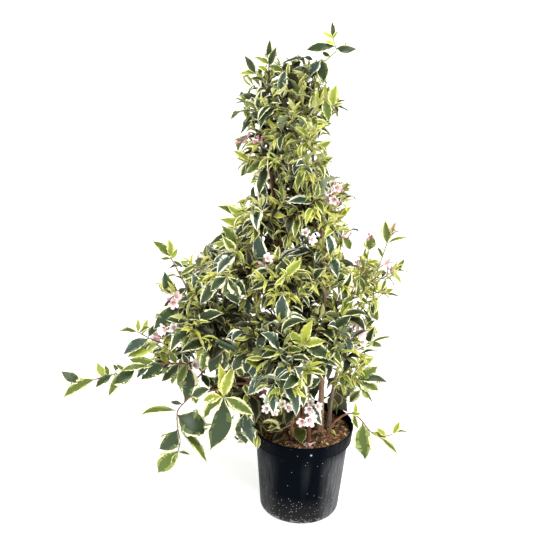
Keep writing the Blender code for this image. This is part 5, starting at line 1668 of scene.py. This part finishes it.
def polypropyleneFinish():
    # Polypropylene with carbon black, injection moulded: a waxy satin skin, blue-black, IOR 1.49. Handling
    # has scuffed it in soft upright bands, and the two on the left and right are also a painted highlight;
    # rain has splashed the lower half with pale soil specks of 1 to 2 mm, and a pale crust sits on the foot.
    # The mould's grain is about 0.4 mm and is drawn at 1.5 mm so that it shows.
    made, tree, shader = newFinish("mouldedPolypropylene", "#090c12", 0.42, 1.49)
    shader.inputs["Specular IOR Level"].default_value = 0.012
    spot = addNode(tree, "TexCoord")
    place = addNode(tree, "SeparateXYZ", None, {0: (spot, "Object")})
    upright = addNode(tree, "VectorMath", {"operation": "MULTIPLY", 1: (1, 1, 0.1)}, {0: (spot, "Object")})
    bands = addNode(
        tree, "TexNoise", {"Scale": 17.0, "Detail": 1.0, "Roughness": 0.4}, {"Vector": (upright, "Vector")}
    )
    streaks = addNode(
        tree, "TexNoise", {"Scale": 150.0, "Detail": 3.0, "Roughness": 0.6}, {"Vector": (upright, "Vector")}
    )
    marks = {}
    for name, (axis, start, stop, low, high, ease) in potMarks.items():
        run = {"interpolation_type": ease, "From Min": start, "From Max": stop, "To Min": low, "To Max": high}
        marks[name] = addNode(tree, "MapRange", run, {"Value": (place, axis)})
    # scuffs and painted highlight: the two bands hold both, the fainter ones all round are scuffs alone;
    # all are broken into streaks and weaker on the collar
    faint = addNode(
        tree, "MapRange", {"From Min": 0.56, "From Max": 0.7, "To Max": 0.09}, {"Value": (bands, "Fac")}
    )
    broken = addNode(
        tree, "MapRange", {"From Min": 0.34, "From Max": 0.66, "To Min": 0.35}, {"Value": (streaks, "Fac")}
    )
    scuffAndHighlight = marks["rightScuffHighlight"], "Result"
    for operation, other in (
        ("MULTIPLY", marks["ahead"]), ("MAXIMUM", marks["leftScuffHighlight"]), ("MAXIMUM", faint),
        ("MULTIPLY", broken), ("MULTIPLY", marks["belowLedge"]),
    ):
        joined = addNode(tree, "Math", {"operation": operation}, {0: scuffAndHighlight, 1: (other, "Result")})
        scuffAndHighlight = joined, "Value"
    # the pale grey is worn plastic, and in the two bands a painted highlight as well
    body = addNode(
        tree, "Mix", {"data_type": "RGBA", 6: linearColour("#03070d"), 7: linearColour("#757577")},
        {0: scuffAndHighlight},
    )
    # dried splashes in cells of 4 mm, one cell in three at the foot and few above, and one larger drop
    specks = addNode(tree, "TexVoronoi", {"Scale": 260.0}, {"Vector": (spot, "Object")})
    speckSize = addNode(
        tree, "MapRange", {"From Min": 0.26, "From Max": 0.14}, {"Value": (specks, "Distance")}
    )
    speckPick = addNode(tree, "SeparateColor", None, {0: (specks, "Color")})
    amount = addNode(
        tree, "Math", {"operation": "MULTIPLY_ADD", 1: -0.34, 2: 0.975}, {0: (marks["low"], "Result")}
    )
    chosen = addNode(tree, "Math", {"operation": "GREATER_THAN"}, {0: (speckPick, 0), 1: (amount, "Value")})
    drop = addNode(
        tree, "VectorMath", {"operation": "DISTANCE", 1: potSizes["splash"]}, {0: (spot, "Object")}
    )
    dropMask = addNode(tree, "MapRange", {"From Min": 0.003, "From Max": 0.0018}, {"Value": (drop, "Value")})
    # the crust on the foot, and a thin haze of dust above it
    crust = addNode(
        tree, "TexNoise", {"Scale": 170.0, "Detail": 5.0, "Roughness": 0.7}, {"Vector": (spot, "Object")}
    )
    crustMask = addNode(tree, "MapRange", {"From Min": 0.48, "From Max": 0.58}, {"Value": (crust, "Fac")})
    footCrust = addNode(
        tree, "Math", {"operation": "MULTIPLY"}, {0: (marks["foot"], "Result"), 1: (crustMask, "Result")}
    )
    drops = {0: (speckSize, "Result"), 1: (chosen, "Value")}
    dust = addNode(tree, "Math", {"operation": "MULTIPLY"}, drops), "Value"
    for other in ((dropMask, "Result"), (footCrust, "Value"), (marks["haze"], "Result")):
        dust = addNode(tree, "Math", {"operation": "MAXIMUM"}, {0: dust, 1: other}), "Value"
    colour = addNode(tree, "Mix", {"data_type": "RGBA", 7: linearColour("#a3a19a")}, {0: dust, 6: (body, 2)})
    dull = addNode(tree, "Math", {"operation": "MULTIPLY_ADD", 1: 0.16, 2: 0.36}, {0: scuffAndHighlight})
    rough = addNode(tree, "Mix", {"data_type": "FLOAT", 3: 0.85}, {0: dust, 2: (dull, "Value")})
    grain = addNode(tree, "TexNoise", {"Scale": 660.0, "Detail": 2.0}, {"Vector": (spot, "Object")})
    raised = addNode(tree, "Math", {"operation": "MULTIPLY_ADD", 1: 3.0}, {0: dust, 2: (grain, "Fac")})
    bump = addNode(tree, "Bump", {"Strength": 0.22, "Distance": 0.0004}, {"Height": (raised, "Value")})
    tree.links.new(colour.outputs[2], shader.inputs["Base Color"])
    tree.links.new(rough.outputs[0], shader.inputs["Roughness"])
    tree.links.new(bump.outputs["Normal"], shader.inputs["Normal"])
    return made


def roundCorner(centre, radius, start, stop, steps=5):
    turns = np.radians(np.linspace(start, stop, steps + 1))
    return [(centre[0] + radius * math.cos(a), centre[1] + radius * math.sin(a)) for a in turns]


def lathe(name, profile, sides, materials, crease=40):
    # a closed solid of revolution from the axis round to the axis
    points = [(0, 0, profile[0][1])]
    for radius, height in profile[1:-1]:
        for i in range(sides):
            angle = 2 * math.pi * i / sides
            points.append((radius * math.cos(angle), radius * math.sin(angle), height))
    points.append((0, 0, profile[-1][1]))
    faces = []
    rings = len(profile) - 2
    for i in range(sides):
        j = (i + 1) % sides
        faces.append((0, 1 + j, 1 + i))
        for k in range(rings - 1):
            a, b = 1 + k * sides, 1 + (k + 1) * sides
            faces.append((a + i, a + j, b + j, b + i))
        last = 1 + (rings - 1) * sides
        faces.append((last + i, last + j, len(points) - 1))
    heap = Heap()
    heap.add(points, faces, 0)
    return heap.toObject(name, materials, crease)


def makePot():
    p = potSizes
    ledge = p["height"] - p["collar"]
    top, r = p["height"], p["radius"]
    hollow = p["recessRadius"]
    outside = [(0, p["recess"]), (hollow, p["recess"])] + roundCorner((hollow, 0.0004), 0.0008, 80, 0, 3)
    outside += [(0.0472, 0.0), (0.056, 0.0), (p["bodyFoot"] - p["footRound"], 0.0)]
    outside += roundCorner((p["bodyFoot"] - p["footRound"], p["footRound"]), p["footRound"], -75, 0, 6)
    wide, tall = p["bodyTop"] - p["bodyFoot"], ledge - 0.003 - p["footRound"]
    outside += [(p["bodyFoot"] + wide * k / 6, p["footRound"] + tall * k / 6) for k in range(1, 7)]
    # a fine bead under the ledge, then the collar with its own small bead under the lip
    outside += [(p["bodyTop"] + 0.0004, ledge - 0.0012), (p["bodyTop"] + 0.0012, ledge)]
    collarFoot = r - p["collarDraft"]
    outside += roundCorner((collarFoot - 0.0012, ledge + 0.0012), 0.0012, -90, 0, 4)
    outside += [(collarFoot + 0.0002, ledge + 0.0032), (collarFoot - 0.0004, ledge + 0.004)]
    outside += [(collarFoot + 0.001, ledge + 0.014), (r - 0.001, top - 0.0058), (r - 0.001, top - 0.005)]
    outside += [(r - 0.0002, top - 0.0044)]
    outside += roundCorner((r - 0.0014, top - 0.0014), 0.0014, 0, 90, 5)
    inner = r - p["lip"]
    inside = roundCorner((inner + 0.001, top - 0.001), 0.001, 90, 180, 4)
    wallTop = r - p["collarDraft"] - p["wall"]
    inside += [(inner - 0.0004, top - 0.004), (wallTop, ledge + p["wall"] + 0.001)]
    inside += [(p["bodyTop"] - p["wall"], ledge + p["wall"]), (p["bodyTop"] - p["wall"], ledge - 0.002)]
    foot = p["bodyFoot"] - p["wall"]
    inside += [(foot, p["floor"] + 0.01), (foot - 0.004, p["floor"] + 0.002)]
    inside += [(p["bodyFoot"] - 0.012, p["floor"]), (0, p["floor"])]
    pot = lathe("potMoulding", outside + inside, p["sides"], [polypropyleneFinish()])
    work = bmesh.new()
    for i in range(p["drains"]):
        angle = 2 * math.pi * (i + 0.5) / p["drains"]
        ring = bmesh.ops.create_cone(
            work, cap_ends=True, segments=28, radius1=p["drainRadius"], radius2=p["drainRadius"], depth=0.02
        )
        place = Vector((p["drainCircle"] * math.cos(angle), p["drainCircle"] * math.sin(angle), 0))
        bmesh.ops.translate(work, verts=ring["verts"], vec=place)
    drainMesh = bpy.data.meshes.new("drains")
    work.to_mesh(drainMesh)
    work.free()
    drains = bpy.data.objects.new("drains", drainMesh)
    bpy.context.scene.collection.objects.link(drains)
    cut = pot.modifiers.new("drains", "BOOLEAN")
    cut.operation = "DIFFERENCE"
    cut.object = drains
    graph = bpy.context.evaluated_depsgraph_get()
    cleanMesh = bpy.data.meshes.new_from_object(pot.evaluated_get(graph))
    pot.modifiers.clear()
    pot.data = cleanMesh
    bpy.data.objects.remove(drains)
    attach(pot, "root")
    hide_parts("pot")


makePot()
print("pot turned")

# Compost: bark chips and coir over a loose brown bed
compostRule = dict(
    radius=0.112, top=0.202, edgeDrop=0.0045, flat=0.078, rings=44, sides=110, chips=1900, fibres=260,
    seed=11, toneShares=(30, 30, 20, 8, 12), longest=0.015, bedUnder=0.0008,
    swells=((42, 1.5, 0.0022), (130, 7, 0.0012)), skirt=((1.0, 0.188), (0.92, 0.187), (0.9, 0.15)),
    chipFaces=[(3, 2, 1, 0), (4, 5, 6, 7), (0, 1, 5, 4), (1, 2, 6, 5), (2, 3, 7, 6), (3, 0, 4, 7)],
)
compostTones = {
    "umber": "#5b412b", "sienna": "#86603d", "ochre": "#b18c5b", "straw": "#dcc398", "black": "#2c2119",
}
compostToneNames = list(compostTones)


def compostBedFinish():
    # Composted bark, screened: damp dark crumbs, dull and rough, 2 to 4 mm across
    made, tree, shader = newFinish("compostedBark", "#3f2a1d", 0.95, 1.45)
    spot = addNode(tree, "TexCoord")
    crumbs = addNode(
        tree, "TexNoise", {"Scale": 330.0, "Detail": 5.0, "Roughness": 0.7}, {"Vector": (spot, "Object")}
    )
    colour = addNode(tree, "ValToRGB", {"stops": [
        (0.32, linearColour("#20160f")), (0.52, linearColour("#553a26")), (0.74, linearColour("#a0754d")),
    ]}, {"Fac": (crumbs, "Fac")})
    bump = addNode(tree, "Bump", {"Strength": 0.9, "Distance": 0.002}, {"Height": (crumbs, "Fac")})
    tree.links.new(colour.outputs["Color"], shader.inputs["Base Color"])
    tree.links.new(bump.outputs["Normal"], shader.inputs["Normal"])
    return made


def compostHeight(x, y):
    c = compostRule
    out = math.hypot(x, y)
    share = min(max((out - c["flat"]) / (c["radius"] - c["flat"]), 0.0), 1.0)
    bumps = sum(noise.noise(Vector((x * fine, y * fine, seed))) * high for fine, seed, high in c["swells"])
    return c["top"] - c["edgeDrop"] * share - c["bedUnder"] + bumps


def makeCompost():
    c = compostRule
    points = [(0, 0, compostHeight(0, 0))]
    for k in range(1, c["rings"] + 1):
        radius = c["radius"] * (k / c["rings"]) ** 0.8
        for i in range(c["sides"]):
            angle = 2 * math.pi * i / c["sides"]
            x, y = radius * math.cos(angle), radius * math.sin(angle)
            points.append((x, y, compostHeight(x, y)))
    faces = []
    for i in range(c["sides"]):
        j = (i + 1) % c["sides"]
        faces.append((0, 1 + i, 1 + j))
        for k in range(c["rings"] - 1):
            a, b = 1 + k * c["sides"], 1 + (k + 1) * c["sides"]
            faces.append((a + i, b + i, b + j, a + j))
    # the bed goes down the wall and under, so that it is one closed body
    rim = len(points) - c["sides"]
    for shrink, depth in c["skirt"]:
        low = len(points)
        points += [(x * shrink, y * shrink, depth) for x, y, _ in points[rim:rim + c["sides"]]]
        for i in range(c["sides"]):
            j = (i + 1) % c["sides"]
            faces.append((low - c["sides"] + i, low + i, low + j, low - c["sides"] + j))
    faces.append(tuple(low + i for i in reversed(range(c["sides"]))))
    heap = Heap()
    heap.add(points, faces, 0)
    bed = heap.toObject("compostBed", [compostBedFinish()], 70)
    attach(bed, "root")
    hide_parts("compost")

    pick = random.Random(c["seed"])
    chips = Heap()
    for _ in range(c["chips"]):
        radius = (c["radius"] - 0.004) * math.sqrt(pick.random())
        angle = pick.uniform(0, 2 * math.pi)
        x, y = radius * math.cos(angle), radius * math.sin(angle)
        long = min(c["longest"], 0.0034 + pick.expovariate(1 / 0.0034))
        half = Vector((long / 2, long * pick.uniform(0.14, 0.34), long * pick.uniform(0.05, 0.15)))
        turn = Matrix.Rotation(pick.uniform(0, 6.28), 3, "Z") @ Matrix.Rotation(pick.gauss(0, 0.35), 3, "Y")
        turn = turn @ Matrix.Rotation(pick.gauss(0, 0.4), 3, "X")
        spot = Vector((x, y, compostHeight(x, y) + half.z * 0.5))
        corners = []
        for sz in (-1, 1):
            for sx, sy in ((-1, -1), (1, -1), (1, 1), (-1, 1)):
                jitter = [pick.uniform(0.55, 1.15) for _ in range(3)]
                corner = Vector((sx * half.x * jitter[0], sy * half.y * jitter[1], sz * half.z * jitter[2]))
                place = spot + turn @ corner
                out = math.hypot(place.x, place.y)
                if out > c["radius"]:
                    place.x *= c["radius"] / out
                    place.y *= c["radius"] / out
                corners.append(tuple(place))
        tone = pick.choices(compostToneNames, c["toneShares"])[0]
        chips.add(corners, c["chipFaces"], compostToneNames.index(tone))
    for _ in range(c["fibres"]):
        # coir: thin curved hairs that lie on the chips
        radius = (c["radius"] - 0.012) * math.sqrt(pick.random())
        angle = pick.uniform(0, 2 * math.pi)
        start = Vector((radius * math.cos(angle), radius * math.sin(angle), 0))
        heading = pick.uniform(0, 6.28)
        path = []
        for k in range(5):
            lift = 0.0012 + 0.0006 * math.sin(k * 1.7)
            path.append(Vector((start.x, start.y, compostHeight(start.x, start.y) + lift)))
            start += Vector((math.cos(heading), math.sin(heading), 0)) * pick.uniform(0.002, 0.0048)
            heading += pick.uniform(-0.6, 0.6)
            if math.hypot(start.x, start.y) > c["radius"] - 0.003:
                break
        if len(path) > 2:
            hair, sides = tube(path, [0.00028] * len(path), 3)
            tone = pick.choice(["ochre", "sienna", "straw"])
            chips.add([tuple(p) for p in hair], sides, compostToneNames.index(tone))
    # composted chips of bark, dull and dry on top
    chipFinishes = [newFinish(f"barkChip_{tone}", compostTones[tone], 0.9)[0] for tone in compostToneNames]
    litter = chips.toObject("compostChips", chipFinishes, 30)
    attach(litter, "root")
    print("compost laid:", chips.triangles(), "triangles of chips and coir")


makeCompost()


# Floor and light: a white floor that glows a little, as on a light table, so that no hard grey lies on it
studio = dict(
    floorColour="#f7f7f5", floorGlow=0.58, skyHigh="#989898", skyStrength=0.92, sunPower=2.9, sunSoftness=20,
    sunWay=(-0.12, 0.56, -1.0), boxAim=(0, 0, 0.15),
    boxes={
        "leftBox": dict(place=(-1.9, -0.7, 0.9), size=(0.5, 1.6), power=10),
        "rightBox": dict(place=(1.7, -1.0, 0.9), size=(0.6, 1.6), power=16),
    },
)


def makeStudio():
    scene = bpy.context.scene
    mesh = bpy.data.meshes.new("floor")
    mesh.from_pydata([(-30, -30, 0), (30, -30, 0), (30, 30, 0), (-30, 30, 0)], [], [(0, 1, 2, 3)])
    floor = bpy.data.objects.new("floor", mesh)
    paint, tree, shader = newFinish("paintedFloor", studio["floorColour"], 0.8)
    shader.inputs["Emission Color"].default_value = (1, 1, 1, 1)
    shader.inputs["Emission Strength"].default_value = studio["floorGlow"]
    mesh.materials.append(paint)
    scene.collection.objects.link(floor)
    floor.location.z = -0.0005
    floor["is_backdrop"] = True
    # a sky that is white along the horizon and greyer overhead
    world = bpy.data.worlds.new("studio")
    scene.world = world
    world.use_nodes = True
    tree = world.node_tree
    spot = addNode(tree, "TexCoord")
    height = addNode(tree, "SeparateXYZ", None, {0: (spot, "Generated")})
    sky = addNode(tree, "ValToRGB", {"stops": [
        (0.34, (1, 1, 1, 1)), (0.56, linearColour(studio["skyHigh"])),
    ]}, {"Fac": (height, "Z")})
    background = tree.nodes["Background"]
    background.inputs["Strength"].default_value = studio["skyStrength"]
    tree.links.new(sky.outputs["Color"], background.inputs["Color"])
    # a broad soft lamp far off, high on the right, lights floor and plant evenly
    sun = bpy.data.lights.new("softSun", "SUN")
    sun.energy = studio["sunPower"]
    sun.angle = math.radians(studio["sunSoftness"])
    placed = bpy.data.objects.new("softSun", sun)
    placed.rotation_euler = Vector(studio["sunWay"]).to_track_quat("-Z", "Y").to_euler()
    scene.collection.objects.link(placed)
    # two tall soft boxes at the sides; the pot's upright highlights are painted in its finish
    for name, lamp in studio["boxes"].items():
        light = bpy.data.lights.new(name, "AREA")
        light.shape = "RECTANGLE"
        light.size, light.size_y = lamp["size"]
        light.energy = lamp["power"]
        placed = bpy.data.objects.new(name, light)
        placed.location = lamp["place"]
        aim = Vector(studio["boxAim"]) - Vector(lamp["place"])
        placed.rotation_euler = aim.to_track_quat("-Z", "Y").to_euler()
        scene.collection.objects.link(placed)
    scene.view_settings.view_transform = "Standard"


makeStudio()

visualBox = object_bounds()
for name, box in (("cad", cadBox), ("visual", visualBox)):
    print(name, [tuple(round(v, 3) for v in corner) for corner in box])
